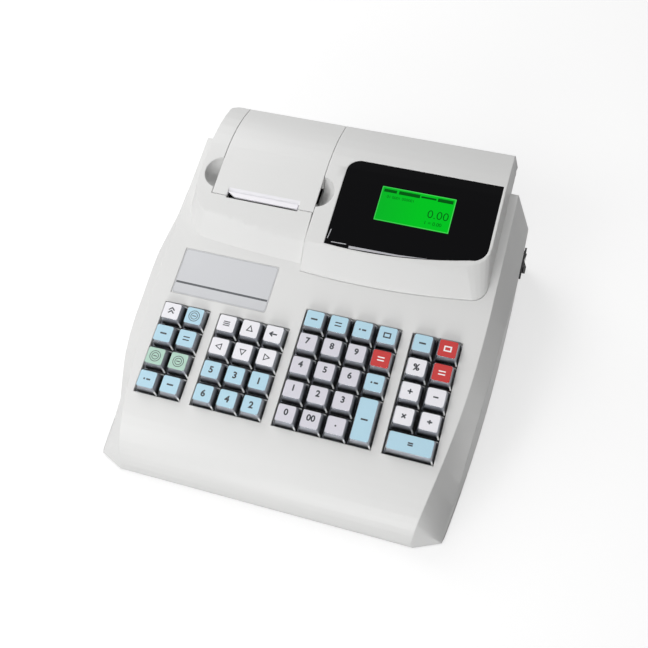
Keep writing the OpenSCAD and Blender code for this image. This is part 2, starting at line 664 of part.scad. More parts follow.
module paper_lid() color(abs_colour) on_deck() {
    x0 = lid_x0 + seam;
    x1 = x0 + lid_w;
    skin = 2.4;
    outer = concat([[lid_front_v + seam, 5], [lid_front_v + seam, head_rise]],
                   rear_arc(0, arc_end), [overhang_lip, [243, underside_w(243)]]);
    inner = concat([[lid_front_v + seam + skin, 5], [lid_front_v + seam + skin, head_rise - skin]],
                   rear_arc(skin, 33.5), [[255.4, -7.6], [243, underside_w(243) + skin]]);
    sides = concat([[lid_front_v + seam, 5], [lid_front_v + seam, head_rise - 0.5]],
                   rear_arc(0.5, 34), [[255.8, -9], [243, underside_w(243) + 0.4], [238, -2], [216, 4]]);
    difference() {
        union() {
            across(x0, x1, concat(outer, [for (i = [len(inner) - 1:-1:0]) inner[i]]));
            across(x0, x0 + 2, sides);
            across(x1 - 2, x1, sides);
            for (x = [x0 + 26, x1 - 27.2]) across(x, x + 1.2,
                concat([[188, 8.5], [188, head_rise - 1]], rear_arc(1, 24), [[243, 2]]));
            // Brackets that carry the platen roller
            for (side = [-1, 1]) across(paper_x + side * bracket_x - 1.2, paper_x + side * bracket_x + 1.2,
                [[platen_v - 4, 0.5], [platen_v + 4, 0.5], [platen_v + 6, head_rise - 1],
                 [platen_v - 6, head_rise - 1]]);
        }
        translate([paper_x - 40, platen_v, platen_w]) rotate([0, 90, 0])
            cylinder(r = shaft_r + run_fit, h = 80);
        paper_exit(skin);
        // Finger grips under the edges, open to the notches
        intersection() {
            translate([x0 - 1, notch_v, head_rise + notch_lift]) rotate([0, 90, 0])
                cylinder(r = notch_r - 0.6, h = lid_w + 2);
            union() {
                block([x0 - 1, 160, 0], [x0 + 2.2, 220, head_rise - 1.2]);
                block([x1 - 2.2, 160, 0], [x1 + 1, 220, head_rise - 1.2]);
            }
        }
    }
    // Hinge stubs
    for (x = [x0 - 2.6, x1 - 1.4]) translate([x, hinge_v, hinge_w])
        rotate([0, 90, 0]) cylinder(r = stub_r, h = 4);
}

// What is cut from the lid's front for the paper: the way up to the slit, a groove that parts
// the tear bar from the lid, the slope behind it, and the gaps at the bar's two ends.
module paper_exit(skin) {
    low_x = paper_x - slit_w / 2;
    high_x = paper_x + slit_w / 2;
    block([low_x, lid_front_v - 1, 0], [high_x, lid_front_v + seam + skin, head_rise - skin]);
    slope_v = tear_v + 0.4;
    across(low_x, high_x, [[tear_v, head_rise - 1.4], [slope_v, head_rise - 1.4], [slope_v, head_rise - 1],
        [2 * tear_slope_v - slope_v, head_rise + 1], [tear_v, head_rise + 1]]);
    block([high_x - 0.8, lid_front_v - 1, head_rise - 1.8], [high_x, tear_v + 0.1, 20]);
    translate([low_x, 0, 0]) linear_extrude(20)
        polygon([[0, lid_front_v - 1], [9, lid_front_v - 1], [0, tear_v + 0.2]]);
}

module platen_roller() color([0.15, 0.15, 0.15]) on_deck()
    translate([paper_x, platen_v, platen_w]) rotate([0, 90, 0]) {
        cylinder(r = platen_r, h = 60, center = true);
        translate([0, 0, -38]) cylinder(r = shaft_r, h = 73.5);
        translate([0, 0, -38]) gear(18, 6.6, 5.4, 2);
    }

// A spur gear with straight-sided teeth, from z = 0 to h.
module gear(teeth, tip_r, root_r, h) {
    step = 360 / teeth;
    linear_extrude(h) polygon([for (i = [0:teeth - 1])
        for (corner = [[0, root_r], [0.25, root_r], [0.35, tip_r], [0.65, tip_r], [0.75, root_r]])
            corner[1] * [cos((i + corner[0]) * step), sin((i + corner[0]) * step)]]);
}

// ---- Electronics and power switch ---------------------------------------------------

module electronics() color("darkgreen") {
    // Circuit board on the base pan's posts
    block([20, 30, 12], [112, 106, 13.6]);
    for (x = socket_x) difference() {
        block([x - socket_w / 2, 105, socket_z], [x + socket_w / 2, case_back_y - 0.4, socket_z + socket_h]);
        block([x - 6, 109, socket_z + 3], [x + 6, 130, socket_z + 11]);
    }
    difference() {
        block([inlet_x - 5, 103, socket_z], [inlet_x + 5, case_back_y - 0.4, socket_z + 11]);
        translate([inlet_x, 113, socket_z + 5.5]) rotate([-90, 0, 0]) cylinder(r = 3.1, h = 20);
    }
    translate([inlet_x, 112, socket_z + 5.5]) rotate([-90, 0, 0]) cylinder(r = 1, h = 9);
    power_switch_body();
}

// Snap-in switch body with a flange, open on the outside for the rocker.
module power_switch_body() {
    face_x = wall_x(switch_y, switch_z);
    translate([0, switch_y, switch_z]) difference() {
        union() {
            block([face_x + 0.1, -switch_l / 2, -switch_h / 2], [face_x + 1.6, switch_l / 2, switch_h / 2]);
            block([face_x - 14, -9.2, -5.2], [face_x + 1, 9.2, 5.2]);
        }
        block([face_x - 9, -8.4, -4.2], [face_x + 10, 8.4, 4.2]);
    }
    // Pivot pins of the rocker
    for (side = [-1, 1]) translate([pivot_x - 1, switch_y, switch_z + side * 3.6 - 0.8])
        cylinder(r = 1, h = 1.6);
}
function wall_x(y, z) =
    shoulder_half_w(y)
    + (base_outline(y) - shoulder_half_w(y)) * (shoulder_height(y) - z) / (shoulder_height(y) - foot_gap);

// The rocker: a shallow vee with its front wing raised.
module power_rocker() color([0.08, 0.08, 0.08])
    translate([pivot_x - 1, switch_y, switch_z]) rotate([0, 0, rocker_tip / 2]) difference() {
        translate([0, 0, -3.8]) linear_extrude(7.6) polygon([
            [-2.6, -3.2], [2.2, -7.6], [3.9, -7.6], [4.2, -7], [2.4, 0], [4.2, 7], [3.9, 7.6],
            [2.2, 7.6], [-2.6, 3.2]]);
        for (side = [-1, 1]) translate([0, 0, side * 3.6 - 0.9]) cylinder(r = 1 + run_fit, h = 1.8);
    }

// ---- What is drawn ------------------------------------------------------------------

base_pan();
upper_case();
display_cover();
display_window();
lcd_module();
print_mechanism();
key_frame();
electronics();
rubber_feet();
paper_lid();
platen_roller();
power_rocker();
for (spec = KEYS) key(spec);
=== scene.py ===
"""Looks of a countertop ticket register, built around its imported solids.

The register is a wedge-shaped case with a sloping keyboard. A low head across its back
holds a receipt printer under a hinged lid and a lit display. Sizes are in millimetres
in the deck frame (x to the right, v up the slope, w square to the deck) and are placed
in metres in the row frame.
"""

import logging
import math
from bisect import bisect_left
from dataclasses import dataclass, field
from enum import Enum, IntEnum
from typing import Any, Iterable, Optional, Sequence

import bmesh
import bpy
from mathutils import Matrix, Vector


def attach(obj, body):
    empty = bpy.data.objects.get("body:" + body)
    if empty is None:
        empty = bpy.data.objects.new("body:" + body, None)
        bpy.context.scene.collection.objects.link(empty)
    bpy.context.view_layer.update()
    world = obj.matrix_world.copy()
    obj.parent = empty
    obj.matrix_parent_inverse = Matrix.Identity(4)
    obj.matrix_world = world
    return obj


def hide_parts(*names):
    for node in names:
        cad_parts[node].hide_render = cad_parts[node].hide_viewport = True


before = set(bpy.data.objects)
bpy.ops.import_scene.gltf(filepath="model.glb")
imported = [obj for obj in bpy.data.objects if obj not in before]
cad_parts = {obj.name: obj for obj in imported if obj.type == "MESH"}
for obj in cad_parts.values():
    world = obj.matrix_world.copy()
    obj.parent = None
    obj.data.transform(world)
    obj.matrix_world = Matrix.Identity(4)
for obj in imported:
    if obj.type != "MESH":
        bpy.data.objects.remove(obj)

log = logging.getLogger("register")
Point = tuple[float, float]
Place = tuple[float, float, float]
Colour = tuple[float, float, float, float]
Tree = bpy.types.NodeTree
Node = bpy.types.Node
Socket = bpy.types.NodeSocket
MM = 0.001
TILT = math.radians(14.0)
DECK = (
    Matrix.Translation((0.0, -0.1044, 0.0384))
    @ Matrix.Rotation(TILT, 4, "X")
    @ Matrix.Scale(MM, 4)
)
# Edges stay sharp from this angle on, in pieces made here.
SMOOTH_DEG = 35.0
# Facets across the round edges of labels, letters, keys' sides and keys' rims.
CORNER_STEPS = 4
LETTER_STEPS = 4
UPRIGHT_STEPS = 3
RIM_STEPS = 2
# Nearer than this counts as the same, in metres and in a text's millimetres.
TINY = 1e-6
WELD = 1e-5
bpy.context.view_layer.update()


# ---- Node trees ----------------------------------------------------------------------


def linear(hex_colour: str) -> Colour:
    """Turns an sRGB hex colour into linear components.

    Args:
        hex_colour: Six hex digits.

    Returns:
        Red, green, blue and full alpha.
    """
    parts = [int(hex_colour[i : i + 2], 16) / 255 for i in (0, 2, 4)]
    red, green, blue = (
        c / 12.92 if c <= 0.04045 else ((c + 0.055) / 1.055) ** 2.4 for c in parts
    )
    return red, green, blue, 1.0


def shaded(colour: Colour, share: float) -> Colour:
    """Makes a linear colour darker or lighter.

    Args:
        colour: The colour.
        share: What its components are multiplied by; none gets past white.

    Returns:
        The new colour, with full alpha.
    """
    red, green, blue = (min(c * share, 1.0) for c in colour[:3])
    return red, green, blue, 1.0


def add(
    tree: Tree,
    kind: str,
    settings: Optional[dict[str, Any]] = None,
    sockets: Optional[dict[Any, Any]] = None,
) -> Node:
    """Adds a node to a tree.

    Args:
        tree: The tree that gets the node.
        kind: Blender's name for the node's type.
        settings: Properties of the node.
        sockets: Inputs by name or number. An output socket is linked, and anything
            else is a value.

    Returns:
        The new node.
    """
    made = tree.nodes.new(kind)
    for name, value in (settings or {}).items():
        setattr(made, name, value)
    for name, value in (sockets or {}).items():
        if isinstance(value, Socket):
            tree.links.new(value, made.inputs[name])
        else:
            made.inputs[name].default_value = value
    return made


@dataclass(frozen=True)
class Finish:
    """What every finish has: a name, a colour and a surface."""

    name: str
    colour: str
    roughness: float = 0.5
    ior: float = 1.5
    metallic: float = 0.0

    def material(self) -> bpy.types.Material:
        """Makes the finish's material on first use.

        Returns:
            The material.
        """
        found = bpy.data.materials.get(self.name)
        if found is not None:
            return found
        made = bpy.data.materials.new(self.name)
        made.use_nodes = True
        tree = made.node_tree
        shader = tree.nodes["Principled BSDF"]
        shader.inputs["Base Color"].default_value = linear(self.colour)
        shader.inputs["Roughness"].default_value = self.roughness
        shader.inputs["IOR"].default_value = self.ior
        shader.inputs["Metallic"].default_value = self.metallic
        self.dress(tree, shader)
        return made

    def dress(self, tree: Tree, shader: Node) -> None:
        """Adds the finish's own pattern to the shader.

        Args:
            tree: The material's tree.
            shader: Its principled shader.
        """


def place_nodes(tree: Tree) -> Socket:
    """Returns a socket with the point's own place on the piece, in metres."""
    return add(tree, "ShaderNodeTexCoord").outputs["Object"]


def mottled(
    tree: Tree,
    place: Socket,
    colour: str,
    scale: float,
    tones: Point,
    detail: float = 2.0,
) -> Socket:
    """Adds a pattern of soft patches, so that no surface has one flat colour.

    Args:
        tree: The material's tree.
        place: The point's place.
        colour: Middle colour in sRGB hex.
        scale: Patches in a metre.
        tones: What the darkest and the lightest patches are shaded by.
        detail: How many finer patterns lie in the patches.

    Returns:
        The socket with the colour.
    """
    patches = add(
        tree, "ShaderNodeTexNoise",
        sockets={"Vector": place, "Scale": scale, "Detail": detail},
    )
    dark, light = (shaded(linear(colour), tone) for tone in tones)
    return add(
        tree, "ShaderNodeMix", {"data_type": "RGBA"},
        {"Factor": patches.outputs["Fac"], 6: dark, 7: light},
    ).outputs[2]


@dataclass(frozen=True)
class MouldedPlastic(Finish):
    """ABS from a spark-eroded mould: a soft sheen broken by a fine even grain."""

    grain_mm: float = 0.55
    depth: float = 0.12
    tone: float = 0.02
    edge_mm: float = 0.5
    cloud_scale: float = 14.0
    contrast: Point = (0.3, 0.7)
    gloss_spread: Point = (-0.05, 0.07)
    relief: float = 0.0001

    def dress(self, tree: Tree, shader: Node) -> None:
        """The grain is drawn coarser than the real 0.1 mm, so that it shows at all.

        Args:
            tree: The material's tree.
            shader: Its principled shader.
        """
        edge = add(
            tree, "ShaderNodeBevel", {"samples": 6}, {"Radius": self.edge_mm * MM}
        )
        place = place_nodes(tree)
        grain = add(
            tree, "ShaderNodeTexNoise",
            sockets={"Vector": place, "Scale": 1 / (self.grain_mm * MM), "Detail": 3.0},
        )
        tones = (1 - self.tone, 1 + self.tone)
        colour = mottled(tree, place, self.colour, self.cloud_scale, tones)
        rough = add(
            tree, "ShaderNodeMapRange",
            sockets={
                "Value": grain.outputs["Fac"], "From Min": self.contrast[0],
                "From Max": self.contrast[1],
                "To Min": self.roughness + self.gloss_spread[0],
                "To Max": self.roughness + self.gloss_spread[1],
            },
        )
        bump = add(
            tree, "ShaderNodeBump",
            sockets={
                "Height": grain.outputs["Fac"], "Strength": self.depth,
                "Distance": self.relief, "Normal": edge.outputs["Normal"],
            },
        )
        tree.links.new(colour, shader.inputs["Base Color"])
        tree.links.new(rough.outputs["Result"], shader.inputs["Roughness"])
        tree.links.new(bump.outputs["Normal"], shader.inputs["Normal"])


@dataclass(frozen=True)
class PolishedPlastic(Finish):
    """Polished acrylic or ABS: deep colour, sharp reflections, a little dust."""

    coat: float = 1.0
    dust_mm: float = 2.5
    specular: float = 0.5
    contrast: Point = (0.35, 0.75)
    gloss_spread: float = 0.06
    coat_roughness: float = 0.03

    def dress(self, tree: Tree, shader: Node) -> None:
        """Faint handling marks change the gloss and not the colour.

        Args:
            tree: The material's tree.
            shader: Its principled shader.
        """
        shader.inputs["Specular IOR Level"].default_value = self.specular
        marks = add(
            tree, "ShaderNodeTexNoise",
            sockets={
                "Vector": place_nodes(tree), "Scale": 1 / (self.dust_mm * MM),
                "Detail": 5.0,
            },
        )
        rough = add(
            tree, "ShaderNodeMapRange",
            sockets={
                "Value": marks.outputs["Fac"], "From Min": self.contrast[0],
                "From Max": self.contrast[1], "To Min": self.roughness,
                "To Max": self.roughness + self.gloss_spread,
            },
        )
        shader.inputs["Coat Weight"].default_value = self.coat
        shader.inputs["Coat Roughness"].default_value = self.coat_roughness
        tree.links.new(rough.outputs["Result"], shader.inputs["Roughness"])


@dataclass(frozen=True)
class ClearPlastic(Finish):
    """Clear polycarbonate: the stem shows through. The glint on its upright edges is
    painted by the edge finishes.
    """

    ripple_scale: float = 220.0
    ripple_depth: float = 0.15
    relief: float = 0.0002

    def dress(self, tree: Tree, shader: Node) -> None:
        """Transmission is the same all over, so it stays on the shader.

        Args:
            tree: The material's tree.
            shader: Its principled shader.
        """
        shader.inputs["Transmission Weight"].default_value = 1.0
        ripple = add(
            tree, "ShaderNodeTexNoise",
            sockets={
                "Vector": place_nodes(tree), "Scale": self.ripple_scale, "Detail": 1.0
            },
        )
        bump = add(
            tree, "ShaderNodeBump",
            sockets={
                "Height": ripple.outputs["Fac"], "Strength": self.ripple_depth,
                "Distance": self.relief,
            },
        )
        tree.links.new(bump.outputs["Normal"], shader.inputs["Normal"])


@dataclass(frozen=True)
class PaintedLightByHeight(Finish):
    """Plastic with painted light: its colour turns lighter with the height on the key.

    The black stem is painted lighter towards its top, standing for light through the
    clear cover, and the cover's upright edges get a painted glint towards their foot.
    """

    painted_light_colour: str = "C6C9D2"
    heights: Point = (-1.6, 4.0)

    def dress(self, tree: Tree, shader: Node) -> None:
        """The height is measured square to the sloping deck.

        Args:
            tree: The material's tree.
            shader: Its principled shader.
        """
        above = add(
            tree, "ShaderNodeVectorMath", {"operation": "SUBTRACT"},
            {0: place_nodes(tree), 1: DECK.translation},
        )
        height = add(
            tree, "ShaderNodeVectorMath", {"operation": "DOT_PRODUCT"},
            {0: above.outputs["Vector"], 1: (0.0, -math.sin(TILT), math.cos(TILT))},
        )
        lit = add(
            tree, "ShaderNodeMapRange", {"interpolation_type": "SMOOTHSTEP"},
            {
                "Value": height.outputs["Value"], "From Min": self.heights[0] * MM,
                "From Max": self.heights[1] * MM,
            },
        )
        colour = add(
            tree, "ShaderNodeMix", {"data_type": "RGBA"},
            {
                "Factor": lit.outputs["Result"], 6: linear(self.colour),
                7: linear(self.painted_light_colour),
            },
        )
        tree.links.new(colour.outputs[2], shader.inputs["Base Color"])


@dataclass(frozen=True)
class PrintedCard(Finish):
    """Printed card under a clear cover: even colour with a paper fleck and a gloss."""

    fleck_mm: float = 0.5
    detail: float = 4.0
    tones: Point = (0.94, 1.05)
    film: float = 0.6
    film_roughness: float = 0.08

    def dress(self, tree: Tree, shader: Node) -> None:
        """The fleck is drawn at half a millimetre; real fibres are finer.

        Args:
            tree: The material's tree.
            shader: Its principled shader.
        """
        scale = 1 / (self.fleck_mm * MM)
        place = place_nodes(tree)
        colour = mottled(tree, place, self.colour, scale, self.tones, self.detail)
        shader.inputs["Coat Weight"].default_value = self.film
        shader.inputs["Coat Roughness"].default_value = self.film_roughness
        tree.links.new(colour, shader.inputs["Base Color"])


@dataclass(frozen=True)
class BacklitPanel(Finish):
    """A graphic display's lit field: green light behind a fine square lattice of dots.

    The lamps sit at its right end, so the left end is a little darker and bluer.
    """

    far_colour: str = "06B628"
    lamp_range: Point = (0.028, 0.062)
    dot_mm: float = 0.464
    dot_share: float = 0.86
    gap_shade: float = 0.12
    unlit_shade: float = 0.12
    brightness: float = 0.86
    specular: float = 0.03

    def dress(self, tree: Tree, shader: Node) -> None:
        """The lattice follows the deck, so the point's place is first turned to it.

        Args:
            tree: The material's tree.
            shader: Its principled shader.
        """
        turned = add(
            tree, "ShaderNodeMapping",
            sockets={"Vector": place_nodes(tree), "Rotation": (-TILT, 0.0, 0.0)},
        )
        scaled = add(
            tree, "ShaderNodeVectorMath", {"operation": "SCALE"},
            {0: turned.outputs["Vector"], "Scale": 1 / (self.dot_mm * MM)},
        )
        cell = add(
            tree, "ShaderNodeVectorMath", {"operation": "FRACTION"},
            {0: scaled.outputs["Vector"]},
        )
        parts = add(
            tree, "ShaderNodeSeparateXYZ", sockets={"Vector": cell.outputs["Vector"]}
        )
        line = [
            add(
                tree, "ShaderNodeMath", {"operation": "GREATER_THAN"},
                {0: parts.outputs[axis], 1: self.dot_share},
            )
            for axis in ("X", "Y")
        ]
        either = add(
            tree, "ShaderNodeMath", {"operation": "MAXIMUM"},
            {0: line[0].outputs[0], 1: line[1].outputs[0]},
        )
        across = add(
            tree, "ShaderNodeSeparateXYZ", sockets={"Vector": turned.outputs["Vector"]}
        )
        nearer = add(
            tree, "ShaderNodeMapRange",
            sockets={
                "Value": across.outputs["X"], "From Min": self.lamp_range[0],
                "From Max": self.lamp_range[1],
            },
        )
        glow = linear(self.colour)
        spread = add(
            tree, "ShaderNodeMix", {"data_type": "RGBA"},
            {"Factor": nearer.outputs["Result"], 6: linear(self.far_colour), 7: glow},
        )
        lattice = add(
            tree, "ShaderNodeMath", {"operation": "MULTIPLY"},
            {0: either.outputs[0], 1: self.gap_shade},
        )
        colour = add(
            tree, "ShaderNodeMix", {"data_type": "RGBA"},
            {
                "Factor": lattice.outputs[0], 6: spread.outputs[2],
                7: (0.0, 0.0, 0.0, 1.0),
            },
        )
        tree.links.new(colour.outputs[2], shader.inputs["Emission Color"])
        shader.inputs["Emission Strength"].default_value = self.brightness
        shader.inputs["Specular IOR Level"].default_value = self.specular
        shader.inputs["Base Color"].default_value = shaded(glow, self.unlit_shade)


@dataclass(frozen=True)
class Zoned(Finish):
    """Two stuffs in one piece, parted by a plane or by the distance from an axis."""

    second: str = "9A9DA0"
    second_metallic: float = 1.0
    second_roughness: float = 0.3
    normal: Place = (0.0, 0.0, 1.0)
    offset: float = 0.0
    axis_point: Optional[Place] = None
    radius: float = 0.002
    grain_mm: float = 0.6
    tones: Point = (0.85, 1.0)

    def dress(self, tree: Tree, shader: Node) -> None:
        """The second stuff lies beyond the plane, or within the radius of an X axis.

        Args:
            tree: The material's tree.
            shader: Its principled shader.
        """
        place = place_nodes(tree)
        if self.axis_point is None:
            reach = add(
                tree, "ShaderNodeVectorMath", {"operation": "DOT_PRODUCT"},
                {0: place, 1: self.normal},
            )
            zone = add(
                tree, "ShaderNodeMath", {"operation": "GREATER_THAN"},
                {0: reach.outputs["Value"], 1: self.offset},
            )
        else:
            shifted = add(
                tree, "ShaderNodeVectorMath", {"operation": "SUBTRACT"},
                {0: place, 1: self.axis_point},
            )
            flat = add(
                tree, "ShaderNodeVectorMath", {"operation": "MULTIPLY"},
                {0: shifted.outputs["Vector"], 1: (0.0, 1.0, 1.0)},
            )
            reach = add(
                tree, "ShaderNodeVectorMath", {"operation": "LENGTH"},
                {0: flat.outputs["Vector"]},
            )
            zone = add(
                tree, "ShaderNodeMath", {"operation": "LESS_THAN"},
                {0: reach.outputs["Value"], 1: self.radius},
            )
        scale = 1 / (self.grain_mm * MM)
        first = mottled(tree, place, self.colour, scale, self.tones)
        colour = add(
            tree, "ShaderNodeMix", {"data_type": "RGBA"},
            {"Factor": zone.outputs[0], 6: first, 7: linear(self.second)},
        )
        metal = add(
            tree, "ShaderNodeMath", {"operation": "MULTIPLY"},
            {0: zone.outputs[0], 1: self.second_metallic},
        )
        rough = add(
            tree, "ShaderNodeMix", {"data_type": "FLOAT"},
            {"Factor": zone.outputs[0], 2: self.roughness, 3: self.second_roughness},
        )
        tree.links.new(colour.outputs[2], shader.inputs["Base Color"])
        tree.links.new(metal.outputs[0], shader.inputs["Metallic"])
        tree.links.new(rough.outputs[0], shader.inputs["Roughness"])


# Spark-eroded mould, so a soft even sheen. The lid's edges are tighter than the case's.
CASE_ABS = MouldedPlastic("Moulded ABS, light grey", "DCDCDB", 0.42, edge_mm=1.3)
LID_ABS = MouldedPlastic("Moulded ABS, light grey lid", "DEDEDD", 0.42, edge_mm=0.6)
TEAR_ABS = MouldedPlastic("Moulded ABS, white", "F2F0F5", 0.35, edge_mm=0.3)
LID_LIP_ABS = MouldedPlastic("Moulded ABS, lip of the slit", "E9E8EC", 0.4, edge_mm=0.3)
BASE_ABS = MouldedPlastic("Moulded ABS, grey", "A9A9A7", 0.5)
# Polished and smoked, so nearly black with a clean mirror at a low angle.
WINDOW_ACRYLIC = PolishedPlastic(
    "Smoked acrylic", "030305", 0.05, 1.49, coat=0.0, specular=0.065
)
# Painted highlight: pale strips and glints on the window's front edge stand for light
# reflected by its bevel.
WINDOW_PAINTED_HIGHLIGHT = MouldedPlastic("Smoked acrylic edge, painted highlight", "B4B4B8", 0.35)
# Glass fibres at the surface break the gloss.
MECHANISM_NYLON = MouldedPlastic("Glass-filled nylon, black", "232427", 0.55, depth=0.2)
FRAME_NYLON = MouldedPlastic("Nylon, black", "141416", 0.6)
ROCKER_PBT = PolishedPlastic("Polished PBT, black", "0C0D0F", 0.16, coat=0.4)
FOOT_RUBBER = MouldedPlastic("Moulded rubber", "2C2C2D", 0.8, grain_mm=0.9, depth=0.3)
# Painted light: the black stem is painted lighter grey towards its top.
KEY_STEM = PaintedLightByHeight("ABS key stem, black", "0D0E12", 0.45)
# Clear and hard, so the stem shows through. The upright edges get a painted glint on
# the right, lighter towards the foot, and painted shade on the left.
KEY_COVER = ClearPlastic("Clear polycarbonate", "F4F6F8", 0.04, 1.585)
KEY_EDGE_PAINTED_GLINT = PaintedLightByHeight(
    "Polycarbonate edge, painted glint", "A4A8B0", 0.2, painted_light_colour="FFFFFF", heights=(3.2, 0.8)
)
KEY_EDGE_PAINTED_SHADE = PolishedPlastic("Polycarbonate edge, painted shade", "4B4E56", 0.18, 1.585)
INK = PrintedCard("Printing ink, black", "20242C", 0.5)
INK_WHITE = PrintedCard("Printing ink, white", "F5F3F3", 0.5)
# A thin metal layer under clear film, so half paint and half mirror.
FOIL = PolishedPlastic(
    "Metallised polyester foil", "C7C8CB", 0.3, coat=0.3, metallic=0.25
)
FOIL_LINE = PrintedCard("Printing ink, grey", "4A4D51", 0.5)
FOIL_EDGE = PolishedPlastic("Cut edge of the foil", "A9ABAE", 0.35, coat=0.2)
LCD_FIELD = BacklitPanel("Backlit display field", "00C722", 0.3)
LCD_DOT = BacklitPanel("Display dots, dark", "005A12", 0.3, far_colour="005A12")
LCD_RIM = BacklitPanel("Backlit display rim", "4FDC60", 0.3, far_colour="46D05C")
SCREW_STEEL = Finish("Zinc-plated steel", "B9BCC0", 0.32, metallic=1.0)
MODULE_METAL = Finish("Tinned steel bezel", "5A5D60", 0.4, metallic=0.8)
# Green solder mask below, plain black nylon above the board's face.
BOARD = Zoned(
    "Circuit board and black nylon jacks", "1F5A34", 0.45, second="16171A",
    second_metallic=0.0, second_roughness=0.45, offset=0.0137,
)
# Dull ground rubber, with the bright turned ends of its shaft.
PLATEN = Zoned(
    "Ground rubber on a steel shaft", "1C1C1E", 0.7,
    axis_point=(-0.0632, 0.070377, 0.085584), radius=0.0017,
)


class Tone(Enum):
    """Colours of the printed key labels."""

    WHITE = PrintedCard("Label card, white", "EAE9EE", 0.5)
    GREY = PrintedCard("Label card, pale grey", "D3D1DA", 0.5)
    BLUE = PrintedCard("Label card, blue", "B0D4E4", 0.5)
    GREEN = PrintedCard("Label card, green", "ABCDBD", 0.5)
    RED = PrintedCard("Label card, red", "BF1B18", 0.5)


# ---- Meshes --------------------------------------------------------------------------


def stand(name: str, data: bpy.types.ID) -> bpy.types.Object:
    """Makes an object and links it to the scene.

    Args:
        name: The object's name.
        data: Its mesh, curve, lamp or camera.

    Returns:
        The object.
    """
    made = bpy.data.objects.new(name, data)
    bpy.context.scene.collection.objects.link(made)
    return made


def settled(source: bpy.types.Object) -> bpy.types.Mesh:
    """Makes a plain mesh of a text or of an object with modifiers.

    Args:
        source: The object.

    Returns:
        The new mesh.
    """
    graph = bpy.context.evaluated_depsgraph_get()
    return bpy.data.meshes.new_from_object(source.evaluated_get(graph))


def rounded_rectangle(low: Point, high: Point, radius: float) -> list[Point]:
    """Outline of a rectangle with round corners, anticlockwise.

    Args:
        low: Lowest corner.
        high: Highest corner.
        radius: Radius of the corners.

    Returns:
        The outline's points.
    """
    centres = (
        (high[0] - radius, high[1] - radius), (low[0] + radius, high[1] - radius),
        (low[0] + radius, low[1] + radius), (high[0] - radius, low[1] + radius),
    )
    outline = []
    for turn, (x, v) in enumerate(centres):
        for i in range(CORNER_STEPS + 1):
            angle = math.radians(90 * (turn + i / CORNER_STEPS))
            outline.append((x + radius * math.cos(angle), v + radius * math.sin(angle)))
    return outline


